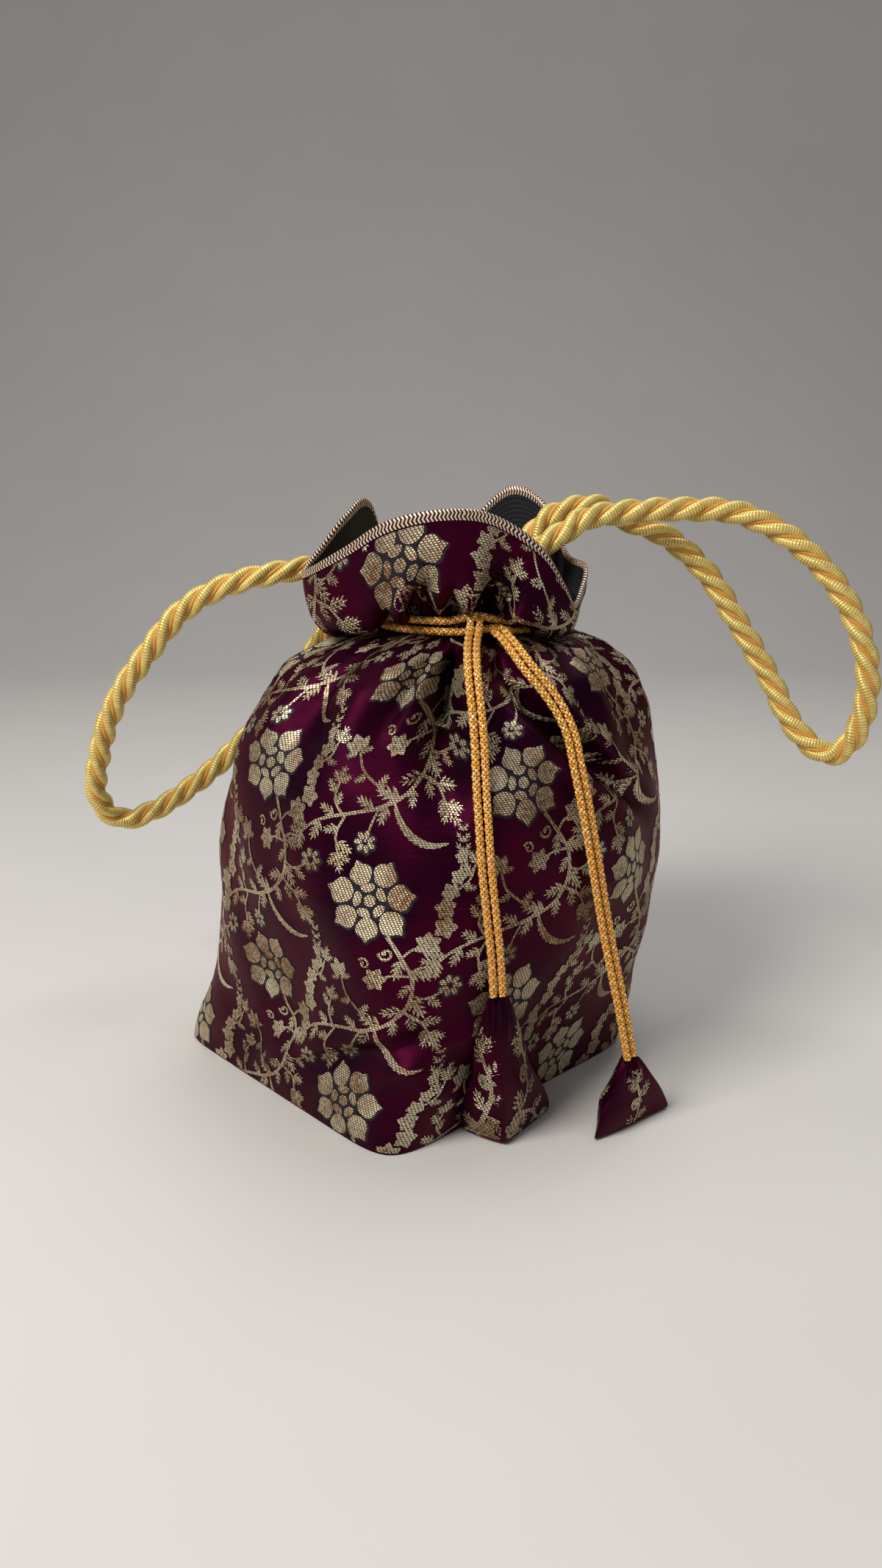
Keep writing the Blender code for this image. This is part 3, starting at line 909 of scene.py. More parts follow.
@dataclass
class ClothForm:
    """The bag's walls as one smooth surface over angle and level: 0 base, 0.5 belly, 1 neck, 2 hem.

    Where the creases of the frill name a height, crease_scale turns the level into it.
    """

    base_side: float = 0.131
    base_corner_power: float = 10.0
    front_corner: float = math.radians(-91.5)
    belly_radius: float = 0.080
    belly_height: float = 0.086
    belly_power: float = 2.35
    neck_radius: float = 0.0275
    neck_height: float = 0.168
    neck_band: float = 0.0098
    neck_lean: float = 0.024
    seam_gap: float = 0.0003
    pleats: int = 12
    pleat_depth: float = 0.0032
    pleat_fade_below: float = 0.20
    pleat_fade_above: float = 0.45
    frill_level: float = 1.15
    flare_out: float = 1.05
    flare_up: float = 0.05
    flare_drop: float = 0.028
    drop_power: float = 1.5
    front_lift: Point = (-92.0, 28.0, 0.75)
    lobes: tuple = ((-48.0, 26.0, 0.0080), (-162.0, 38.0, 0.0105))
    lobe_start: float = 0.2
    fold_end: float = 0.012
    crease_ease: float = 0.06
    crease_scale: float = 0.1
    frill_ease: Point = (1.24, 0.12, 0.15)
    slack_ease: tuple[float, float] = (0.02, 0.03)
    waves: tuple = ((0.0009, 5, 60, 0.4), (0.0007, 8, -75, 1.9), (0.0005, 13, 110, 0.0))
    gather_sizes: tuple = ((35, 0.0030, 1, 2.0, 0.10, 0.15), (19, 0.0034, -1, 0.0, 0.22, 0.34))
    columns: int = 400
    row_spacing: float = 0.00118
    lower_wall: tuple = (
        (0.00, 0.00, 1.00, 0.00),
        (0.12, 0.06, 0.72, 0.08),
        (0.35, 0.18, 0.34, 0.30),
        (0.70, 0.64, 0.09, 0.52),
        (1.00, 1.00, 0.00, 0.62),
    )
    shoulder: tuple = (
        (0.00, 1.000, 0.62),
        (0.25, 0.985, 0.67),
        (0.50, 0.915, 0.67),
        (0.72, 0.785, 0.75),
        (0.88, 0.580, 0.87),
        (0.965, 0.270, 1.00),
        (1.00, 0.000, 1.00),
    )
    folds: tuple = (
        (-101.0, 9.0, 0.0085, 0.155, 0.030),
        (-62.0, 8.0, 0.0060, 0.150, 0.034),
        (-28.0, 9.0, 0.0050, 0.148, 0.036),
        (22.0, 10.0, 0.0055, 0.152, 0.034),
        (78.0, 9.0, 0.0060, 0.154, 0.030),
        (124.0, 10.0, 0.0050, 0.150, 0.034),
        (172.0, 9.0, 0.0055, 0.152, 0.032),
        (-136.0, 9.0, 0.0050, 0.150, 0.030),
    )
    hem: tuple = (
        (-98.0, 0.017, -0.046, 0.210), (-76.0, 0.035, -0.043, 0.207), (-60.0, 0.049, -0.038, 0.197),
        (-47.0, 0.057, -0.033, 0.185), (-36.0, 0.061, -0.027, 0.178), (-24.0, 0.065, -0.016, 0.182),
        (-10.0, 0.068, -0.003, 0.189), (6.0, 0.063, 0.008, 0.192), (22.0, 0.060, 0.022, 0.200),
        (38.0, 0.054, 0.032, 0.212), (54.0, 0.043, 0.037, 0.217), (70.0, 0.032, 0.041, 0.209),
        (88.0, 0.018, 0.044, 0.191), (106.0, 0.006, 0.044, 0.184), (124.0, -0.006, 0.039, 0.187),
        (140.0, -0.013, 0.028, 0.211), (158.0, -0.021, 0.014, 0.207), (174.0, -0.030, 0.002, 0.195),
        (188.0, -0.035, -0.008, 0.188), (202.0, -0.030, -0.017, 0.190), (220.0, -0.018, -0.028, 0.197),
        (240.0, -0.003, -0.039, 0.206),
    )
    creases: tuple[Crease, ...] = (
        Crease(-93.0, 0.147, -0.15, 6.2, 0.0360, 0.019, 0.05),
        Crease(-107.0, 0.152, 0.20, 3.0, 0.0050, 0.010, 0.3),
        Crease(-104.0, 0.031, 1.20, 6.0, 0.0030, 0.015, 0.5),
        Crease(-79.0, 0.029, -1.00, 6.0, 0.0026, 0.015, 0.5),
        Crease(-140.0, 0.024, 1.00, 7.0, 0.0022, 0.014, 0.5),
        Crease(-54.0, 0.136, -0.94, 4.6, 0.0150, 0.020, 0.3),
        Crease(-70.0, 0.160, -0.40, 3.4, 0.0080, 0.012, 0.3),
        Crease(-120.0, 0.158, 0.30, 4.0, 0.0026, 0.014),
        Crease(-78.0, 0.160, -0.10, 4.0, 0.0024, 0.012),
        Crease(-34.0, 0.156, -0.30, 5.0, 0.0030, 0.016),
        Crease(-150.0, 0.156, 0.20, 5.0, 0.0028, 0.014),
        Crease(3.0, 0.156, 0.00, 5.0, 0.0028, 0.014),
        Crease(46.0, 0.158, 0.20, 4.5, 0.0028, 0.014),
        Crease(100.0, 0.156, -0.20, 4.5, 0.0028, 0.014),
        Crease(148.0, 0.158, 0.10, 4.5, 0.0026, 0.014),
        Crease(-168.0, 0.158, 0.10, 4.5, 0.0024, 0.013),
    )
    frill_creases: tuple[Crease, ...] = (
        Crease(-78.0, 0.142, 0.15, 6.5, 0.0110, 0.036, 0.35),
        Crease(-116.0, 0.140, 0.25, 4.5, 0.0100, 0.026, 0.35),
        Crease(-97.0, 0.134, 0.00, 3.6, 0.0040, 0.018, 0.3),
        Crease(-134.0, 0.138, 0.20, 4.5, 0.0040, 0.022, 0.3),
        Crease(-156.0, 0.138, 0.00, 6.0, 0.0040, 0.022, 0.3),
        Crease(-60.0, 0.136, 0.00, 4.0, 0.0035, 0.020, 0.3),
        Crease(-40.0, 0.136, 0.00, 5.0, 0.0035, 0.020, 0.3),
        Crease(0.0, 0.135, 0.00, 8.0, 0.0040, 0.025, 0.3),
        Crease(110.0, 0.135, 0.00, 8.0, 0.0035, 0.025, 0.3),
    )
    points: Array = field(init=False)
    normals: Array = field(init=False)
    levels: Array = field(init=False)
    rise: Array = field(init=False)

    def rounded_square(self, angle: Array, half_width: float, power: float) -> Array:
        """Distance from the middle to a square with soft corners.

        Args:
            angle: The directions, in radians.
            half_width: Half the square's width.
            power: How square it is, 2 being round.

        Returns:
            The distance in each direction.
        """
        turned = angle - self.front_corner + math.pi / 4
        reach = np.abs(np.cos(turned)) ** power + np.abs(np.sin(turned)) ** power
        return half_width / reach ** (1 / power)

    def section(self, level: float) -> tuple[float, float, float, float]:
        """Height, half width, corner power and lean of the wall at a level."""
        base_half = self.base_side / 2
        if level < 0.5:
            swell, square, lean = smooth_line(self.lower_wall, [2 * level])[0]
            half_width = base_half + swell * (self.belly_radius - base_half)
            power = self.belly_power + square * (self.base_corner_power - self.belly_power)
            return 2 * level * self.belly_height, half_width, power, lean * self.neck_lean
        rise = 2 * level - 1
        excess, lean = smooth_line(self.shoulder, [rise])[0]
        height = self.belly_height + rise * (self.neck_height - self.belly_height)
        half_width = self.neck_radius + excess * (self.belly_radius - self.neck_radius)
        return height, half_width, 2 + (self.belly_power - 2) * (1 - rise), lean * self.neck_lean

    def large_folds(self, angle: Array, height: float) -> Array:
        """How far the large folds press the wall in at a height."""
        depth = np.zeros_like(angle)
        for middle, half_width, deepest, where, reach in self.folds:
            across = bell(degrees_from(middle, np.degrees(angle)) / half_width)
            depth += deepest * across * bell((height - where) / reach)
        return depth * min(1, (self.neck_height - height) / self.fold_end)

    def gathers(self, angle: Array, level: float) -> Array:
        """The small gathers beside the neck, all of them pressed in.

        Args:
            angle: The directions, in radians.
            level: The level on the cloth.

        Returns:
            How far the cloth moves outward in each direction.
        """
        below, above = max(0.0, 1 - level), max(0.0, level - self.frill_level)
        drift = 1.6 * np.sin(3 * angle + 0.7) + 0.9 * np.sin(5 * angle + 2.1)
        uneven = 0.65 + 0.35 * np.sin(4 * angle + 1.3)
        pressed = 0
        for count, depth, way, climb, reach_below, reach_above in self.gather_sizes:
            swing = 0.5 + 0.5 * np.cos(count * angle + way * drift + climb * below)
            pressed = pressed + depth * bell(below / reach_below) * bell(above / reach_above) * swing * uneven
        return -pressed

    def slack(self, angle: Array, height: float) -> Array:
        """Soft unevenness of the standing wall, none at the base."""
        low, high = self.slack_ease
        ease = min(1, height / low) * min(1, max(0, self.neck_height - height) / high)
        return ease * sum(deep * np.sin(count * angle + climb * height + at) for deep, count, climb, at in self.waves)

    def ring(self, angle: Array, level: float) -> Array:
        """Points of the cloth's outer face around the bag.

        Args:
            angle: The directions, in radians.
            level: 0 at the base, 1 at the neck, 2 at the hem.

        Returns:
            One point for each direction.
        """
        degrees = np.degrees(angle)
        outward = np.stack([np.cos(angle), np.sin(angle), np.zeros_like(angle)], axis=1)
        height, half_width, power, lean = self.section(min(level, 1.0))
        band = self.neck_band * min(max(level - 1, 0) / (self.frill_level - 1), 1)
        radius = self.rounded_square(angle, half_width, power) - self.large_folds(angle, height)
        made = np.array([lean, 0.0, height + band]) + outward * radius[:, None]
        if level > self.frill_level:
            share = (level - self.frill_level) / (2 - self.frill_level)
            apart = smooth_loop(self.hem, 360.0, degrees) - made
            spread = np.linalg.norm(apart[:, :2], axis=1, keepdims=True)
            turn = made + outward * self.flare_out * spread
            turn[:, 2] += self.flare_up * apart[:, 2]
            made = (1 - share) ** 2 * made + 2 * share * (1 - share) * turn + share**2 * (made + apart)
            front, front_width, lift = self.front_lift
            held = lift * bell(degrees_from(front, degrees) / front_width)
            made[:, 2] -= self.flare_drop * share**self.drop_power * (1 - share) * (1 - held)
            past = max(0.0, share - self.lobe_start) / (1 - self.lobe_start)
            for middle, width, sag in self.lobes:
                made[:, 2] -= sag * bell(degrees_from(middle, degrees) / width) * SAG_PEAK * past * (1 - past) ** 2
        below = max(0, 1 - level) / self.pleat_fade_below
        above = max(0, level - self.frill_level) / self.pleat_fade_above
        pleat = self.pleat_depth * bell(below) * bell(above) * np.cos(self.pleats * (angle - self.front_corner))
        fine = self.gathers(angle, level)
        if level < 1:
            ease = min(1, (1 - level) / self.crease_ease)
            heights = np.full_like(degrees, height)
            fine = fine + self.slack(angle, height)
            fine = fine + ease * sum(crease.press(degrees, heights) for crease in self.creases)
        return made + outward * (pleat + fine)[:, None]

    def angles(self) -> Array:
        """The directions of the cloth's columns, and the first one's again."""
        return self.front_corner + np.arange(self.columns + 1) * 2 * math.pi / self.columns

    def shape(self) -> None:
        """Lay the fine grid of the cloth, in rows of even spacing."""
        angle = self.angles()[:-1]
        start = self.seam_gap / (2 * self.belly_height)
        trial = np.concatenate([np.linspace(start, 1, 61), np.linspace(1, 2, 41)[1:]])
        rings = np.array([self.ring(angle[::8], level) for level in trial])
        rise = running_length(rings)
        neck = np.interp(1.0, trial, rise)
        low = np.linspace(0, neck, round(neck / self.row_spacing) + 1)
        high = np.linspace(neck, rise[-1], round((rise[-1] - neck) / (0.8 * self.row_spacing)) + 1)[1:]
        self.rise = np.concatenate([low, high])
        self.levels = np.interp(self.rise, rise, trial)
        self.points = np.array([self.ring(angle, level) for level in self.levels])
        where = self.levels[:, None] * self.crease_scale
        pressed = sum(crease.press(np.degrees(angle)[None], where) for crease in self.frill_creases)
        first, low, high = self.frill_ease
        eased = np.clip((self.levels - first) / low, 0, 1) * np.clip((2 - self.levels) / high, 0, 1)
        self.points += self.facing() * (pressed * eased[:, None])[..., None]
        self.normals = self.facing()

    def facing(self) -> Array:
        """The directions that the cloth's outer face looks in."""
        around = np.roll(self.points, -1, axis=1) - np.roll(self.points, 1, axis=1)
        return unit(np.cross(around, np.gradient(self.points, axis=0)))

    def neck_rise(self) -> float:
        """Length of cloth from the base to the neck."""
        return float(np.interp(1.0, self.levels, self.rise))

    def read(self, turn: Array, rise: Array, lift: object) -> Array:
        """Points on the cloth.

        Args:
            turn: Shares of the way around, from the front corner.
            rise: Lengths of cloth above the base.
            lift: Heights above the cloth.

        Returns:
            One point for each place.
        """
        column = (turn % 1) * self.columns
        left = np.floor(column).astype(int) % self.columns
        right = (left + 1) % self.columns
        row = np.clip(np.interp(rise, self.rise, np.arange(len(self.rise))), 0, len(self.rise) - 1.0001)
        low = np.floor(row).astype(int)
        s, t = (column - np.floor(column))[:, None], (row - low)[:, None]

        def blend(table: Array) -> Array:
            """The table between its four nearest places."""
            near = table[low, left] * (1 - s) + table[low, right] * s
            return near * (1 - t) + (table[low + 1, left] * (1 - s) + table[low + 1, right] * s) * t

        return blend(self.points) + unit(blend(self.normals)) * np.reshape(lift, (-1, 1))

    def way_round(self, level: float) -> Array:
        """Share of the distance around at each column, and 1 at the end, at a smoothed level."""
        way = running_length(self.ring(self.angles(), level))
        return way / way[-1]


def fill_outline(outline: Array, spacing: float = 1.5) -> Shape:
    """Triangles that fill a closed outline.

    Args:
        outline: The outline's points, in order.
        spacing: The distance between the points inside it.

    Returns:
        The points and the triangles.
    """
    low, high = outline.min(axis=0), outline.max(axis=0)
    inside = []
    steps_x, steps_y = (np.arange(low[axis] + spacing / 2, high[axis], spacing) for axis in range(2))
    after = np.roll(outline, -1, axis=0)
    edge = after - outline
    slope = edge[:, 0] / np.where(edge[:, 1] == 0, 1e-9, edge[:, 1])
    for x, y in ((x, y) for y in steps_y for x in steps_x):
        away = np.array([x, y]) - outline
        share = np.clip((away * edge).sum(axis=1) / (edge**2).sum(axis=1), 0, 1)
        if np.linalg.norm(away - edge * share[:, None], axis=1).min() < 0.45 * spacing:
            continue
        crossing = (outline[:, 1] > y) != (after[:, 1] > y)
        where = outline[:, 0] + away[:, 1] * slope
        if np.count_nonzero(crossing & (where > x)) % 2:
            inside.append((x, y))
    spots = [Vector(spot) for spot in [*outline.tolist(), *inside]]
    made = geometry.delaunay_2d_cdt(spots, [], [list(range(len(outline)))], 1, 1e-5)
    return np.array([tuple(spot) for spot in made[0]]), np.array(made[2])


def closed_curve(points: object, spacing: float) -> Array:
    """Evenly spaced points on a smooth closed curve."""
    loop = np.array(points, float)
    keys = running_length(np.vstack([loop, loop[:1]]))
    table = np.column_stack([keys[:-1], loop])
    count = max(6, round(keys[-1] / spacing))
    return smooth_loop(table, keys[-1], np.arange(count) * keys[-1] / count)


def swollen(outline: Array, by: float, shift: tuple[float, float]) -> Array:
    """An outline moved outward, and shifted."""
    along = np.roll(outline, -1, axis=0) - np.roll(outline, 1, axis=0)
    outward = unit(np.stack([along[:, 1], -along[:, 0]], axis=1))
    area = np.sum(outline[:, 0] * np.roll(outline[:, 1], -1) - np.roll(outline[:, 0], -1) * outline[:, 1])
    return outline + outward * by * (1 if area > 0 else -1) + np.array(shift)


@dataclass
class Jaal:
    """One repeat of the floral net, drawn in millimetres with the large flower at its middle."""

    shade: tuple[float, float] = (0.28, -0.34)
    outline_width: float = 0.6
    layers: dict[Layer, Patch] = field(default_factory=lambda: {layer: Patch() for layer in Layer})

    def placed(self, points: Array, x: float, y: float, turn: float, size: float) -> Array:
        """Points turned by degrees, sized and moved."""
        c, s = math.cos(math.radians(turn)) * size, math.sin(math.radians(turn)) * size
        return np.asarray(points) @ np.array([[c, s], [-s, c]]) + np.array([x, y])

    def fill(self, outline: Array, layer: Layer = Layer.GOLD) -> None:
        """Fill a closed outline with thread."""
        self.layers[layer].add(*fill_outline(outline))

    def edged(self, outline: Array, width: float, shade: tuple[float, float]) -> None:
        """Fill an outline with gold on a wider black shape, which is shifted to look like a shadow."""
        self.fill(swollen(outline, width, shade), Layer.OUTLINE)
        self.fill(outline)

    def strip(self, line: Array, right: Array, left: Array) -> None:
        """Gold thread along a line, from its widths on both sides."""
        along = unit(np.gradient(line, axis=0))
        beside = np.stack([-along[:, 1], along[:, 0]], axis=1)
        edges = np.stack([line - beside * right, line + beside * left], axis=1)
        quads = grid_faces(len(line), 2, False)
        self.layers[Layer.GOLD].add(edges.reshape(-1, 2), np.concatenate([quads[:, [0, 1, 2]], quads[:, [0, 2, 3]]]))

    def ribbon(self, points: object, start: float, end: float) -> Array:
        """A stem that narrows along a smooth line.

        Args:
            points: The line's points.
            start: The width at its first point.
            end: The width at its last point.

        Returns:
            The smooth line.
        """
        line = smooth_route(points, 1.1)
        width = np.linspace(start, end, len(line))[:, None] / 2
        self.strip(line, width, width)
        return line

    def leaf(self, x: float, y: float, turn: float, size: float, pairs: int = 3) -> None:
        """A feathered leaf that grows from a point: slender lobes on both sides of its rib.

        Args:
            x: Its foot across the cloth.
            y: Its foot along the cloth.
            turn: Its direction in degrees.
            size: Its length.
            pairs: Lobes on each side.
        """
        lobe = np.array(mirrored([(0.0, -0.03), (0.3, -0.12), (0.65, -0.13), (1.0, 0.0)]))
        fan = np.array([(0, edge, edge + 1) for edge in range(1, 6)])
        grown = [(0.0, 0.0, 1.0)]
        for pair in range(pairs):
            foot = 0.10 + 0.72 * pair / pairs
            long = 0.46 - 0.16 * pair / pairs
            grown += [(foot, lean, long) for lean in (40.0 - 3 * pair, 3 * pair - 40.0)]
        for foot, lean, long in grown:
            shape = self.placed(lobe * np.array([1.0, 0.7 if long == 1.0 else 1.0]), foot, 0.0, lean, long)
            self.layers[Layer.GOLD].add(self.placed(shape, x, y, turn, size), fan)

    def branch(
        self,
        points: object,
        start: float,
        end: float,
        every: float,
        size: float,
        first: float = 2.5,
        last: float = 0.0,
    ) -> None:
        """A stem with leaves on both sides of it in turn, and three at its tip.

        Args:
            points: The points of the stem's line.
            start: Its width at the first point.
            end: Its width at the last point.
            every: The distance between leaves.
            size: A leaf's length.
            first: Where the first leaf grows.
            last: How far before the tip the last one grows.
        """
        line = self.ribbon(points, start, end)
        along = running_length(line)
        for number, where in enumerate(np.arange(first, along[-1] - last - 1.5, every)):
            spot, ahead = ([np.interp(at, along, line[:, axis]) for axis in range(2)] for at in (where, where + 0.8))
            heading = math.degrees(math.atan2(ahead[1] - spot[1], ahead[0] - spot[0]))
            side = 1 if number % 2 else -1
            grown = size * (0.94 + 0.18 * math.sin(2.3 * number))
            self.leaf(spot[0], spot[1], heading + side * 46, grown)
        if last == 0:
            heading = math.degrees(math.atan2(*(line[-1] - line[-2])[::-1]))
            for lean, share in ((0, 1.15), (42, 0.9), (-42, 0.9)):
                self.leaf(line[-1][0], line[-1][1], heading + lean, size * share)

    def flower(self, x: float, y: float, turn: float, size: float = 1.04) -> None:
        """The large flower: pointed petals with thin black lines between them, around a ring of small ones."""
        petal = [(6.3, -1.7), (7.4, -2.9), (9.2, -3.95), (11.0, -4.1), (12.4, -3.0), (13.3, -1.35), (15.0, 0.0)]
        petal = closed_curve(mirrored(petal), 1.15)
        for number in range(7):
            grown = size * (0.96 + 0.06 * math.sin(2.1 * number + 1))
            self.edged(self.placed(petal, x, y, turn + number * 360 / 7, grown), self.outline_width, self.shade)
        self.fill(circle(16) * 7.0 * size + np.array([x, y]), Layer.OUTLINE)
        inner = closed_curve(mirrored([(2.85, -0.7), (3.5, -1.9), (4.6, -2.45), (5.4, -1.5), (5.6, 0.0)]), 0.8)
        for number in range(5):
            self.fill(self.placed(inner, x, y, turn + 20 + number * 72, size))
        heart = closed_curve([(1.7, 1.0), (0.2, 2.0), (-1.7, 1.1), (-1.6, -1.1), (0.2, -1.9), (1.75, -0.9)], 0.6)
        self.fill(self.placed(heart, x, y, turn, size))

    def blossom(self, x: float, y: float, turn: float, size: float = 1.0, petals: int = 6) -> None:
        """A small gold blossom with a ring of dark dots."""
        wave = 3.6 + 0.75 * np.cos(np.arange(petals * 4) * math.pi / 2)
        self.fill(self.placed(circle(petals * 4) * wave[:, None], x, y, turn, size))
        for number in range(petals):
            middle = self.placed([1.45, 0.0], x, y, turn + number * 360 / petals + 12, size)
            self.fill(circle(5) * 0.27 * size + middle, Layer.DOT)

    def bud(self, x: float, y: float, turn: float, size: float) -> None:
        """A black-outlined bud of seven small lobes around a dark centre."""
        lobe = closed_curve(mirrored([(1.1, -0.3), (2.2, -0.85), (3.4, -0.8), (4.0, 0.0)]), 0.8)
        for number in range(7):
            self.edged(self.placed(lobe, x, y, turn + number * 360 / 7, size), 0.75, (0.15, -0.2))

    def lotus(self, x: float, y: float, turn: float) -> None:
        """A half-open bud: three pointed petals outlined in black, on two leaves."""
        petal = closed_curve(mirrored([(0.4, -0.9), (2.6, -1.9), (4.8, -1.3), (6.6, 0.0)]), 0.9)
        for lean, share in ((38, 0.86), (-38, 0.86), (0, 1.0)):
            self.edged(self.placed(petal, x, y, turn + lean, share), 0.32, (0.1, -0.12))
        for lean in (100, -100):
            self.leaf(x, y, turn + lean, 5.0)

    def curl(self, x: float, y: float, turn: float, size: float, hand: int) -> None:
        """A tendril that winds up to a small round end."""
        turns = np.linspace(0, 2.0 * math.pi, 16)
        spiral = np.stack([np.cos(turns), hand * np.sin(turns)], axis=1) * (2.4 * (1 - 0.115 * turns))[:, None]
        path = self.placed(spiral - spiral[0], x, y, turn, size)
        self.ribbon(path, 0.95 * size, 0.75 * size)
        tip = path[-1] - unit(path[-1] - path[-2]) * 0.1
        self.fill(circle(7) * 0.8 * size + tip)

    def crescent(self, points: object, width: float) -> None:
        """A hooked frond with teeth along its outer edge."""
        line = smooth_route(points, 1.0)
        share = np.linspace(0, 1, len(line))
        swell = (width * np.sin(math.pi * np.clip(share, 0.08, 1)) ** 0.8 + 0.35)[:, None]
        outer = swell * (0.62 + 0.25 * (np.arange(len(line)) % 2))[:, None]
        self.strip(line, outer, swell * 0.38)

    def chain(self, points: object, sizes: tuple[float, ...]) -> None:
        """Blossoms in a row that grow smaller along a line, on a thin stem."""
        line = self.ribbon(points, 0.8, 0.6)
        for number, size in enumerate(sizes):
            spot = line[round(number / max(1, len(sizes) - 1) * (len(line) - 1))]
            self.blossom(spot[0], spot[1], 25 * number, size, 5)

    def draw(self) -> None:
        """Draw the whole repeat."""
        self.flower(0, 0, 12)
        stem = [(7, -11), (12, -18), (16.5, -26), (16, -35), (10, -43), (1, -47.5), (-9, -50)]
        self.branch(stem, 1.45, 1.2, 5.0, 9.0, 9.0, 3.0)
        self.blossom(4.0, -26.5, 10, 1.0)
        self.ribbon([(15.5, -24.5), (10, -24.5), (5, -26.2)], 0.9, 0.8)
        self.blossom(20.5, -13.0, 30, 1.1)
        self.ribbon([(12, -18.5), (15.5, -15.0), (20, -13.5)], 0.9, 0.8)
        self.curl(4.5, -17.0, 180, 1.1, 1)
        self.curl(-2.0, -20.5, 150, 0.9, -1)
        self.ribbon([(16.6, -31), (20.5, -32.5), (25, -31), (28.5, -28.5)], 1.0, 0.8)
        self.leaf(22.0, -32.0, -35, 6.4)
        self.branch([(15, -37.5), (21, -41), (24.5, -46.0)], 1.1, 0.8, 4.4, 7.4)
        self.crescent([(6, -45), (8.5, -51), (13, -56), (19, -58.5), (25, -58)], 1.9)
        self.branch([(-9, -50), (-17, -52), (-23, -54.5), (-27, -58)], 1.2, 0.9, 5.6, 7.6, 6.0)
        self.branch([(-12, -50.8), (-15, -46), (-14, -40)], 1.0, 0.8, 4.4, 5.8, 3.5)
        self.branch([(-11, -51), (-14, -57.5), (-13, -63)], 1.0, 0.8, 4.8, 6.8, 4.5)
        self.branch([(-23.5, -34), (-19.5, -31), (-17.5, -25.5)], 0.9, 0.7, 4.0, 5.8, 2.5)
        self.bud(-22.5, -67.0, 0, 1.0)
        self.bud(-3.5, -59.0, 25, 0.95)
        self.ribbon([(-3.5, -59), (-1.5, -53), (1, -47.5)], 0.8, 0.8)
        row = [(-26.0, -46), (-26.5, -40), (-25.0, -34), (-22.5, -28.5), (-22.0, -23)]
        self.chain(row, (0.95, 0.85, 0.75, 0.66, 0.56))
        for size, y in ((4.4, -20.5), (4.0, -17.0), (3.4, -13.5)):
            self.leaf(-21.6, y - 1.5, 125, size, 2)
            self.leaf(-21.6, y - 1.5, 55, size, 2)
        self.lotus(-9.5, -28.5, 112)
        self.ribbon([(6, -45), (-1, -40), (-6.5, -35), (-9, -29)], 1.1, 0.8)
        self.leaf(0, -41.5, 62, 6.0)
        self.leaf(-4.5, -37.0, 205, 5.4)


@dataclass
class JaalCloth:
    """The floral net laid on the bag's cloth."""

    form: ClothForm
    pitch: float = 0.0515
    repeat: float = 0.078
    layers: dict[Layer, Shape] = field(init=False)

    def __post_init__(self) -> None:
        """Draw one repeat for all the cloth."""
        drawn = Jaal()
        drawn.draw()
        self.layers = {layer: drawn.layers[layer].merged() for layer in Layer}

    def copies(self, layer: Layer, columns: int, shift: tuple[float, float], low: float, high: float) -> tuple:
        """A layer's shapes on a stretch of cloth, cut off at its two ends.

        Args:
            layer: The layer of thread.
            columns: Columns of flowers on the stretch, an even number.
            shift: Where the first flower lies, in metres.
            low: The stretch's lower end.
            high: Its upper end.

        Returns:
            Places across and along the cloth, and triangles.
        """
        points, faces = self.layers[layer]
        stretch = Patch()
        for column in range(columns):
            start = shift[1] + (column % 2) * self.repeat / 2
            for row in range(-3, 6):
                place = points * MM + np.array([shift[0] + column * self.pitch, start + row * self.repeat])
                beyond = (place[:, 1] < low) | (place[:, 1] > high)
                used, kept = compacted(faces[~beyond[faces].all(axis=1)])
                place[:, 1] = np.clip(place[:, 1], low, high)
                stretch.add(place[used], kept)
        return stretch.merged()

    def lay(self, name: str, layer: Layer, parts: list[tuple], finish: Material) -> Piece:
        """One layer's object from its stretches.

        Args:
            name: The object's name.
            layer: The layer of thread.
            parts: For each stretch its columns, level for the way around, shift, and its two ends.
            finish: The layer's material.

        Returns:
            The object.
        """
        whole, threads = Patch(), []
        for columns, level, shift, low, high in parts:
            place, triangles = self.copies(layer, columns, shift, low, high)
            way = self.form.way_round(level)
            share = (place[:, 0] / (columns * self.pitch)) % 1
            turn = np.interp(share, way, np.arange(len(way)) / self.form.columns)
            whole.add(self.form.read(turn, place[:, 1], layer.value), triangles)
            threads.append(place)
        points, corners = whole.merged()
        made = build_object(name, points, corners, np.concatenate(threads)[corners.ravel()])
        dress(made, finish)
        LOG.info("%s: %d triangles", name, len(corners))
        return made


@dataclass
class Finishes:
    """Every material of the bag, made once."""

    silk: Material = field(default_factory=lambda: ShotSilk().dye("shot_silk"))
    gold: Material = field(default_factory=lambda: GoldThread().dye("gold_thread"))
    black: Material = field(default_factory=lambda: OutlineThread().dye("outline_thread"))
    border: Material = field(default_factory=lambda: ZariBorder().dye("zari_border"))
    lining: Material = field(default_factory=lambda: MeshLining().dye("mesh_lining"))
    wrap: Material = field(default_factory=lambda: SatinWrap().dye("satin_wrap"))
    core: Material = field(default_factory=lambda: CoreYarn().dye("core_yarn"))
    zari: Material = field(default_factory=lambda: BraidedZari().dye("knitted_zari"))


def flat_panel(name: str, rim: Array, shares: Array, rise: Callable) -> Piece:
    """A panel that lies nearly flat inside a rim.

    Args:
        name: The object's name.
        rim: The points of its outer edge.
        shares: The sizes of its rings, by share of the rim's.
        rise: A height for each of a ring's points, from its share and its points.

    Returns:
        The object, with thread coordinates straight down from its points.
    """
    rings = []
    for share in shares[::-1]:
        ring = rim * np.array([share, share, 0])
        ring[:, 2] = rise(share, ring)
        rings.append(ring)
    grid = np.array(rings)
    return grid_object(name, grid, np.concatenate([grid, grid[:, :1]], axis=1)[..., :2], True)


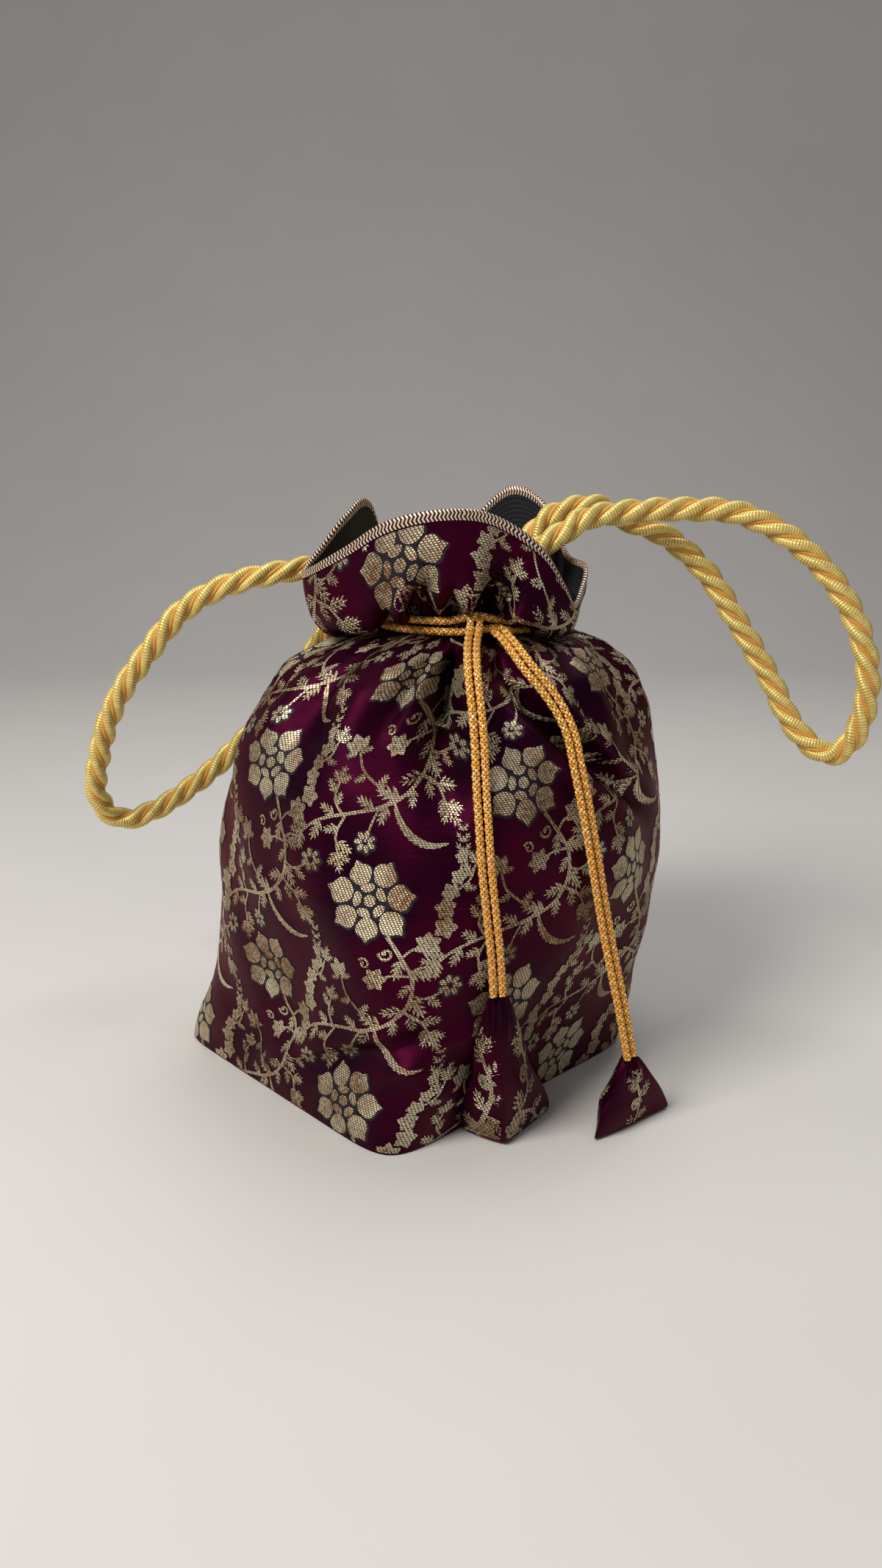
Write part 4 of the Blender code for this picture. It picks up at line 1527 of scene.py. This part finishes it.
@dataclass
class Brocade:
    """The bag's outer cloth: wall, frill, woven border, base panel and the floral net on them."""

    form: ClothForm
    finishes: Finishes
    cloth_width: float = 0.515
    frill_columns: int = 6
    wall_columns: int = 10
    border_width: float = 0.0033
    border_lift: float = 0.0003
    cloth_thickness: float = 0.0008
    hem_fold: float = 0.0005
    seam: float = 0.0006
    base_share: float = 0.985
    base_bow: float = 0.0009
    base_lift: float = 0.00004
    wall_shift: tuple[float, float] = (0.030, 0.052)
    frill_shift: tuple[float, float] = (-0.020, 0.0095)

    def build(self) -> None:
        """Make the wall and all that is woven into it."""
        form = self.form
        rows, columns = form.points.shape[:2]
        across = np.arange(columns + 1) / columns * self.cloth_width
        wall = grid_object("brocade_wall", form.points, thread_table(across, form.rise), True)
        dress(wall, self.finishes.silk, "brocade_body")
        extras = [self.border(across)]
        jaal = JaalCloth(form)
        top = form.rise[-1] - self.border_width
        neck = form.neck_rise()
        parts = [
            (self.wall_columns, 0.5, self.wall_shift, self.seam, neck),
            (self.frill_columns, 2.0, (self.frill_shift[0], top - self.frill_shift[1]), neck, top),
        ]
        for name, layer, finish in (
            ("jaal_outline", Layer.OUTLINE, self.finishes.black),
            ("jaal_gold", Layer.GOLD, self.finishes.gold),
            ("jaal_dots", Layer.DOT, self.finishes.black),
        ):
            extras.append(jaal.lay(name, layer, parts, finish))
        self.base()
        LOG.info("brocade wall: %d by %d points, %.3f m of cloth up the wall", rows, columns, form.rise[-1])

    def border(self, across: Array) -> Piece:
        """The woven border along the hem, turned over its edge to the inside.

        Args:
            across: The thread coordinate of each of the wall's columns.

        Returns:
            The border's object.
        """
        form = self.form
        first = int(np.searchsorted(form.rise, form.rise[-1] - self.border_width))
        outer = form.points[first:] + form.normals[first:] * self.border_lift
        crest = form.points[-1] + unit(form.points[-1] - form.points[-2]) * self.hem_fold
        inward = self.cloth_thickness + self.border_lift
        inner = (form.points[first:] - form.normals[first:] * inward)[::-1]
        grid = np.concatenate([outer, crest[None], inner])
        made = grid_object("zari_border", grid, thread_table(across, running_length(grid)), True)
        dress(made, self.finishes.border)
        return made

    def base(self) -> None:
        """The square base panel, seamed inside the wall's lower edge."""
        rim = self.form.points[1, ::4] * self.base_share
        shares = np.linspace(0, 0.995, 40)
        made = flat_panel("base_panel", rim, shares, lambda share, _: self.base_bow * share**6 + self.base_lift)
        dress(made, self.finishes.silk, "brocade_base")


@dataclass
class Lining:
    """The dark lining inside the wall and on the base."""

    form: ClothForm
    finishes: Finishes
    gap: float = 0.0012
    top_gap: float = 0.0014
    cloth_width: float = 0.50
    floor_height: float = 0.0026
    floor_wave: tuple[float, float] = (0.0006, 0.06)

    def build(self) -> None:
        """Make the lining's wall and its base."""
        form = self.form
        last = int(np.searchsorted(form.rise, form.rise[-1] - self.top_gap))
        grid = (form.points - form.normals * self.gap)[2:last:2, ::2]
        rise = form.rise[2:last:2]
        across = np.arange(grid.shape[1] + 1) / grid.shape[1] * self.cloth_width
        wall = grid_object("lining_wall", grid, thread_table(across, rise), True)
        dress(wall, self.finishes.lining, "lining_body")
        deep, reach = self.floor_wave

        def rise_inside(share: float, ring: Array) -> Array:
            """The height of the lining on the base, in slight waves towards the middle."""
            return self.floor_height + deep * np.cos(14 * ring[:, 0] / reach) * (1 - share)

        base = flat_panel("lining_floor", grid[0], np.linspace(0.02, 0.985, 30), rise_inside)
        dress(base, self.finishes.lining, "lining_base")
        LOG.info("lining: %d by %d points", *grid.shape[:2])


@dataclass
class Tassel:
    """A soft three-cornered pouch of the brocade at a drawcord's end.

    The table unfold turns a place on it into thread coordinates.
    """

    name: str
    corners: tuple[tuple[float, float], ...]
    height: float
    top: tuple[float, float]
    top_radius: float = 0.0045
    puff: float = 0.004
    fineness: int = 5
    unfold: tuple = ((0.8, 0.0), (0.4, 0.3), (0.0, 1.0))
    gather_depth: float = 0.0007
    dent_depth: float = 0.0008
    slimming: float = 0.0004
    crease: float = 0.75
    sprig_lean: float = 0.0
    sprig_size: float = 0.9
    sprig_height: float = 0.62
    ray_start: float = 0.05
    ray_length: float = 0.12
    floor_gap: float = 0.0012
    steepest: float = 0.15

    def cage(self) -> bpy.types.Mesh:
        """The coarse cage: a foot on the surface, a small top and three puffed sides."""
        foot = [np.array([x, y, 0.0]) for x, y in self.corners]
        middle = np.mean(foot, axis=0)
        peak = np.array([self.top[0], self.top[1], self.height])
        crown = [peak + unit(corner - middle) * self.top_radius for corner in foot]
        shape = bmesh.new()
        low = [shape.verts.new(place) for place in foot]
        high = [shape.verts.new(place) for place in crown]
        shape.faces.new(low)
        shape.faces.new(high)
        sides = [shape.faces.new((low[i], low[(i + 1) % 3], high[(i + 1) % 3], high[i])) for i in range(3)]
        bmesh.ops.recalc_face_normals(shape, faces=shape.faces)
        crease = shape.edges.layers.float.new("crease_edge")
        for edge in shape.edges:
            edge[crease] = self.crease
        outward = [side.normal.copy() for side in sides]
        poked = bmesh.ops.poke(shape, faces=sides)
        for vertex, normal in zip(poked["verts"], outward):
            vertex.co += normal * self.puff
        mesh = bpy.data.meshes.new(f"tassel_cage_{self.name}")
        shape.to_mesh(mesh)
        shape.free()
        return mesh

    def build(self, finishes: Finishes) -> None:
        """Make the pouch.

        Args:
            finishes: The bag's materials.
        """
        made = in_scene(f"pouch_{self.name}", self.cage())
        soft = made.modifiers.new("soft", "SUBSURF")
        soft.levels = soft.render_levels = self.fineness
        graph = bpy.context.evaluated_depsgraph_get()
        fine = bpy.data.meshes.new_from_object(made.evaluated_get(graph))
        made.modifiers.clear()
        made.data = fine
        fine.shade_smooth()
        places = np.empty(len(fine.vertices) * 3)
        fine.vertices.foreach_get("co", places)
        places = places.reshape(-1, 3)
        normals = np.empty_like(places).ravel()
        fine.vertices.foreach_get("normal", normals)
        places += self.puckers(places)[:, None] * normals.reshape(-1, 3)
        places[:, 2] = np.maximum(places[:, 2], 0.0)
        fine.vertices.foreach_set("co", places.ravel())
        flat = places @ np.array(self.unfold)
        corners = np.empty(len(fine.loops), np.int32)
        fine.loops.foreach_get("vertex_index", corners)
        layer = fine.uv_layers.new(name="threads")
        layer.data.foreach_set("uv", flat[corners].astype(np.float32).ravel())
        fine.materials.clear()
        dress(made, finishes.silk, f"tassel_{self.name}")
        self.decorate(made, finishes)
        LOG.info("tassel %s: %d vertices", self.name, len(places))

    def puckers(self, places: Array) -> Array:
        """Small puckers of the gathered top, and soft dents lower down."""
        share = np.clip(places[:, 2] / self.height, 0, 1)
        angle = np.arctan2(places[:, 1] - self.top[1], places[:, 0] - self.top[0])
        gathered = self.gather_depth * np.cos(9 * angle + 0.5) * bell((share - 0.95) / 0.22)
        dents = self.dent_depth * np.sin(260 * places[:, 0] + 190 * places[:, 2]) * bell((share - 0.4) / 0.3)
        return gathered + dents - self.slimming

    def decorate(self, pouch: Piece, finishes: Finishes) -> None:
        """Lay sprigs of the jaal on the pouch's sides.

        Args:
            pouch: The pouch's object.
            finishes: The bag's materials.
        """
        drawn = Jaal()
        drawn.branch([(-7, -33), (-4, -24), (0, -15), (2, -7), (0, 1)], 1.5, 1.0, 4.4, 7.4)
        drawn.blossom(-3.5, -27, 0, 1.6)
        drawn.curl(3, -8, 10, 1.3, 1)
        drawn.branch([(-2, -19), (4, -21), (10, -26)], 1.2, 0.8, 4.2, 6.6)
        tree = BVHTree.FromObject(pouch, bpy.context.evaluated_depsgraph_get())
        for side in range(3):
            self.project(drawn, tree, side, finishes)

    def project(self, drawn: Jaal, tree: BVHTree, side: int, finishes: Finishes) -> None:
        """Lay the drawn sprigs on one side of the pouch.

        Args:
            drawn: The sprigs.
            tree: The pouch's surface.
            side: The side's number.
            finishes: The bag's materials.
        """
        corners = np.array([(x, y, 0.0) for x, y in self.corners])
        ends = [corners[side], corners[(side + 1) % 3]]
        across = unit(ends[1] - ends[0])
        foot = (ends[0] + ends[1]) / 2
        outward = unit(foot - np.mean(corners, axis=0))
        foot = foot + (min(ends, key=lambda end: end[1]) - foot) * self.sprig_lean
        for layer, finish in ((Layer.GOLD, finishes.gold), (Layer.DOT, finishes.black)):
            points, faces = drawn.layers[layer].merged()
            spots, found = [], []
            for x, y in points * MM * self.sprig_size:
                rise = np.array([0, 0, self.height * self.sprig_height + y])
                origin = foot + across * x + rise + outward * self.ray_start
                place, normal, _, _ = tree.ray_cast(Vector(origin), Vector(-outward), self.ray_length)
                good = place is not None and place.z > self.floor_gap and normal.dot(Vector(outward)) > self.steepest
                found.append(good)
                spots.append(tuple(place + normal * layer.value) if good else (0.0, 0.0, 0.0))
            used, kept = compacted(faces[np.array(found)[faces].all(axis=1)])
            if not len(used):
                continue
            name = f"pouch_{self.name}_{layer.name.lower()}_{side}"
            made = build_object(name, np.array(spots)[used], kept, (points * MM)[used][kept.ravel()])
            dress(made, finish)


@dataclass
class Studio:
    """Plain pale floor and backdrop, and soft light."""

    floor_colour: Colour = (216, 212, 208)
    sky_colour: Colour = (244, 246, 250)
    world_strength: float = 0.19
    bend_radius: float = 0.9
    reach: float = 5.0
    wall_height: float = 2.6
    aim: Point = (0.02, 0.0, 0.09)

    def lamp(self, name: str, place: Point, size: float, power: float, tone: tuple) -> None:
        """An area light that faces the bag.

        Args:
            name: Its name.
            place: Where it hangs.
            size: Its width.
            power: Its power in watts.
            tone: Its colour.
        """
        data = bpy.data.lights.new(name, "AREA")
        data.size = size
        data.energy = power
        data.color = tone
        made = in_scene(name, data)
        made.location = place
        aim = Vector(self.aim) - Vector(place)
        made.rotation_euler = aim.to_track_quat("-Z", "Y").to_euler()

    def build(self) -> None:
        """Make the floor, the backdrop and the lights."""
        bend = np.linspace(0, math.pi / 2, 40)
        curve = self.bend_radius * np.stack([1 + np.sin(bend), 1 - np.cos(bend)], axis=1)
        profile = np.concatenate([[(-self.reach, 0.0)], curve, [(2 * self.bend_radius, self.wall_height)]])
        grid = np.array([[(x, y, z) for x in (-self.reach, self.reach)] for y, z in profile])
        floor = grid_object("floor", grid, grid[..., :2], False)
        floor.data.materials.append(PlainMatte(self.floor_colour).dye("pale_floor"))
        world = bpy.data.worlds.new("studio")
        world.use_nodes = True
        sky = world.node_tree.nodes["Background"]
        sky.inputs["Color"].default_value = linear(*self.sky_colour)
        sky.inputs["Strength"].default_value = self.world_strength
        bpy.context.scene.world = world
        self.lamp("window", (-0.62, -0.62, 0.95), 0.5, 13.0, (1.0, 0.98, 0.95))
        self.lamp("fill", (0.95, -0.75, 0.45), 0.5, 0.8, (0.95, 0.97, 1.0))
        self.lamp("top", (0.15, 0.30, 1.20), 0.6, 5.2, (1.0, 1.0, 1.0))
        bpy.context.scene.view_settings.view_transform = "Standard"


HANDLES = (
    Handle(
        "left",
        0.52,
        (
            (0.0090, 0.0087, 0.1580), (0.0102, 0.0086, 0.1735), (0.0088, 0.0128, 0.1850),
            (0.0050, 0.0250, 0.1930), (0.0005, 0.0370, 0.1955), (-0.0085, 0.0450, 0.1930),
            (-0.0215, 0.0410, 0.1890), (-0.0320, 0.0300, 0.1875), (-0.0400, 0.0245, 0.1862),
            (-0.0508, 0.0210, 0.1845), (-0.0620, 0.0200, 0.1820), (-0.0730, 0.0200, 0.1780),
            (-0.0840, 0.0200, 0.1715), (-0.1000, 0.0200, 0.1540), (-0.1140, 0.0220, 0.1350),
            (-0.1240, 0.0270, 0.1120), (-0.1280, 0.0340, 0.0910), (-0.1250, 0.0380, 0.0830),
            (-0.1190, 0.0420, 0.0795), (-0.1110, 0.0470, 0.0810), (-0.0930, 0.0560, 0.0910),
            (-0.0740, 0.0620, 0.1070), (-0.0560, 0.0620, 0.1270), (-0.0400, 0.0540, 0.1480),
            (-0.0290, 0.0470, 0.1630), (-0.0160, 0.0500, 0.1770), (-0.0020, 0.0545, 0.1885),
            (0.0095, 0.0520, 0.1960), (0.0150, 0.0400, 0.1975), (0.0176, 0.0225, 0.1935),
            (0.0180, 0.0152, 0.1785), (0.0181, 0.0163, 0.1580),
        ),
    ),
    Handle(
        "right",
        0.46,
        (
            (0.0403, -0.0059, 0.1580), (0.0400, -0.0056, 0.1745), (0.0435, -0.0038, 0.1870),
            (0.0505, -0.0010, 0.1955), (0.0590, 0.0020, 0.2005), (0.0670, 0.0060, 0.2055),
            (0.0780, 0.0100, 0.2075), (0.0900, 0.0120, 0.2085), (0.1070, 0.0130, 0.2090),
            (0.1240, 0.0120, 0.2080), (0.1440, 0.0080, 0.1990), (0.1600, 0.0040, 0.1840),
            (0.1710, 0.0010, 0.1650), (0.1755, 0.0000, 0.1480), (0.1750, 0.0010, 0.1310),
            (0.1720, 0.0030, 0.1215), (0.1670, 0.0060, 0.1165), (0.1600, 0.0100, 0.1190),
            (0.1540, 0.0140, 0.1255), (0.1440, 0.0210, 0.1450), (0.1310, 0.0240, 0.1660),
            (0.1170, 0.0260, 0.1860), (0.1010, 0.0270, 0.1990), (0.0840, 0.0260, 0.2055),
            (0.0730, 0.0225, 0.2100), (0.0640, 0.0190, 0.2090), (0.0560, 0.0160, 0.2060),
            (0.0490, 0.0135, 0.1990), (0.0425, 0.0105, 0.1890), (0.0400, 0.0062, 0.1745),
            (0.0403, 0.0059, 0.1580),
        ),
    ),
)

DRAWCORDS = (
    DrawCord(
        "left",
        0.49,
        (
            (0.0265, -0.0362, 0.1738), (0.0262, -0.0385, 0.1705), (0.0255, -0.0440, 0.1680),
            (0.0250, -0.0533, 0.1645), (0.0252, -0.0630, 0.1583), (0.0262, -0.0701, 0.1490),
            (0.0270, -0.0750, 0.1387), (0.0276, -0.0790, 0.1255), (0.0283, -0.0820, 0.1150),
            (0.0293, -0.0840, 0.1010), (0.0308, -0.0842, 0.0870), (0.0325, -0.0838, 0.0720),
            (0.0335, -0.0832, 0.0570),
        ),
        (-104.0, -428.0),
        0.0048,
    ),
    DrawCord(
        "right",
        0.55,
        (
            (0.0345, -0.0352, 0.1700), (0.0365, -0.0405, 0.1685), (0.0390, -0.0485, 0.1660),
            (0.0430, -0.0560, 0.1610), (0.0490, -0.0590, 0.1540), (0.0535, -0.0605, 0.1475),
            (0.0570, -0.0625, 0.1400), (0.0590, -0.0650, 0.1310), (0.0620, -0.0670, 0.1170),
            (0.0650, -0.0675, 0.1020), (0.0680, -0.0675, 0.0860), (0.0720, -0.0675, 0.0660),
            (0.0765, -0.0680, 0.0460), (0.0805, -0.0680, 0.0265),
        ),
        (-92.0, -415.0),
        0.0012,
    ),
)

TASSELS = (
    Tassel(
        "left",
        ((0.020, -0.071), (0.037, -0.082), (0.056, -0.056)),
        0.0565,
        (0.0335, -0.0832),
        sprig_lean=0.55,
        sprig_size=1.25,
    ),
    Tassel("right", ((0.066, -0.080), (0.099, -0.056), (0.074, -0.053)), 0.0260, (0.0805, -0.0680)),
)


def main() -> None:
    """Build the bag in its frame."""
    logging.basicConfig(level=logging.INFO)
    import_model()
    PhotoCamera().build()
    finishes = Finishes()
    for handle in HANDLES:
        handle.build(finishes.wrap, finishes.core)
    for drawcord, tassel in zip(DRAWCORDS, TASSELS):
        tassel.build(finishes)
        drawcord.build(finishes.zari)
    form = ClothForm()
    form.shape()
    Brocade(form, finishes).build()
    Lining(form, finishes).build()
    Studio().build()


if __name__ == "__main__":
    main()
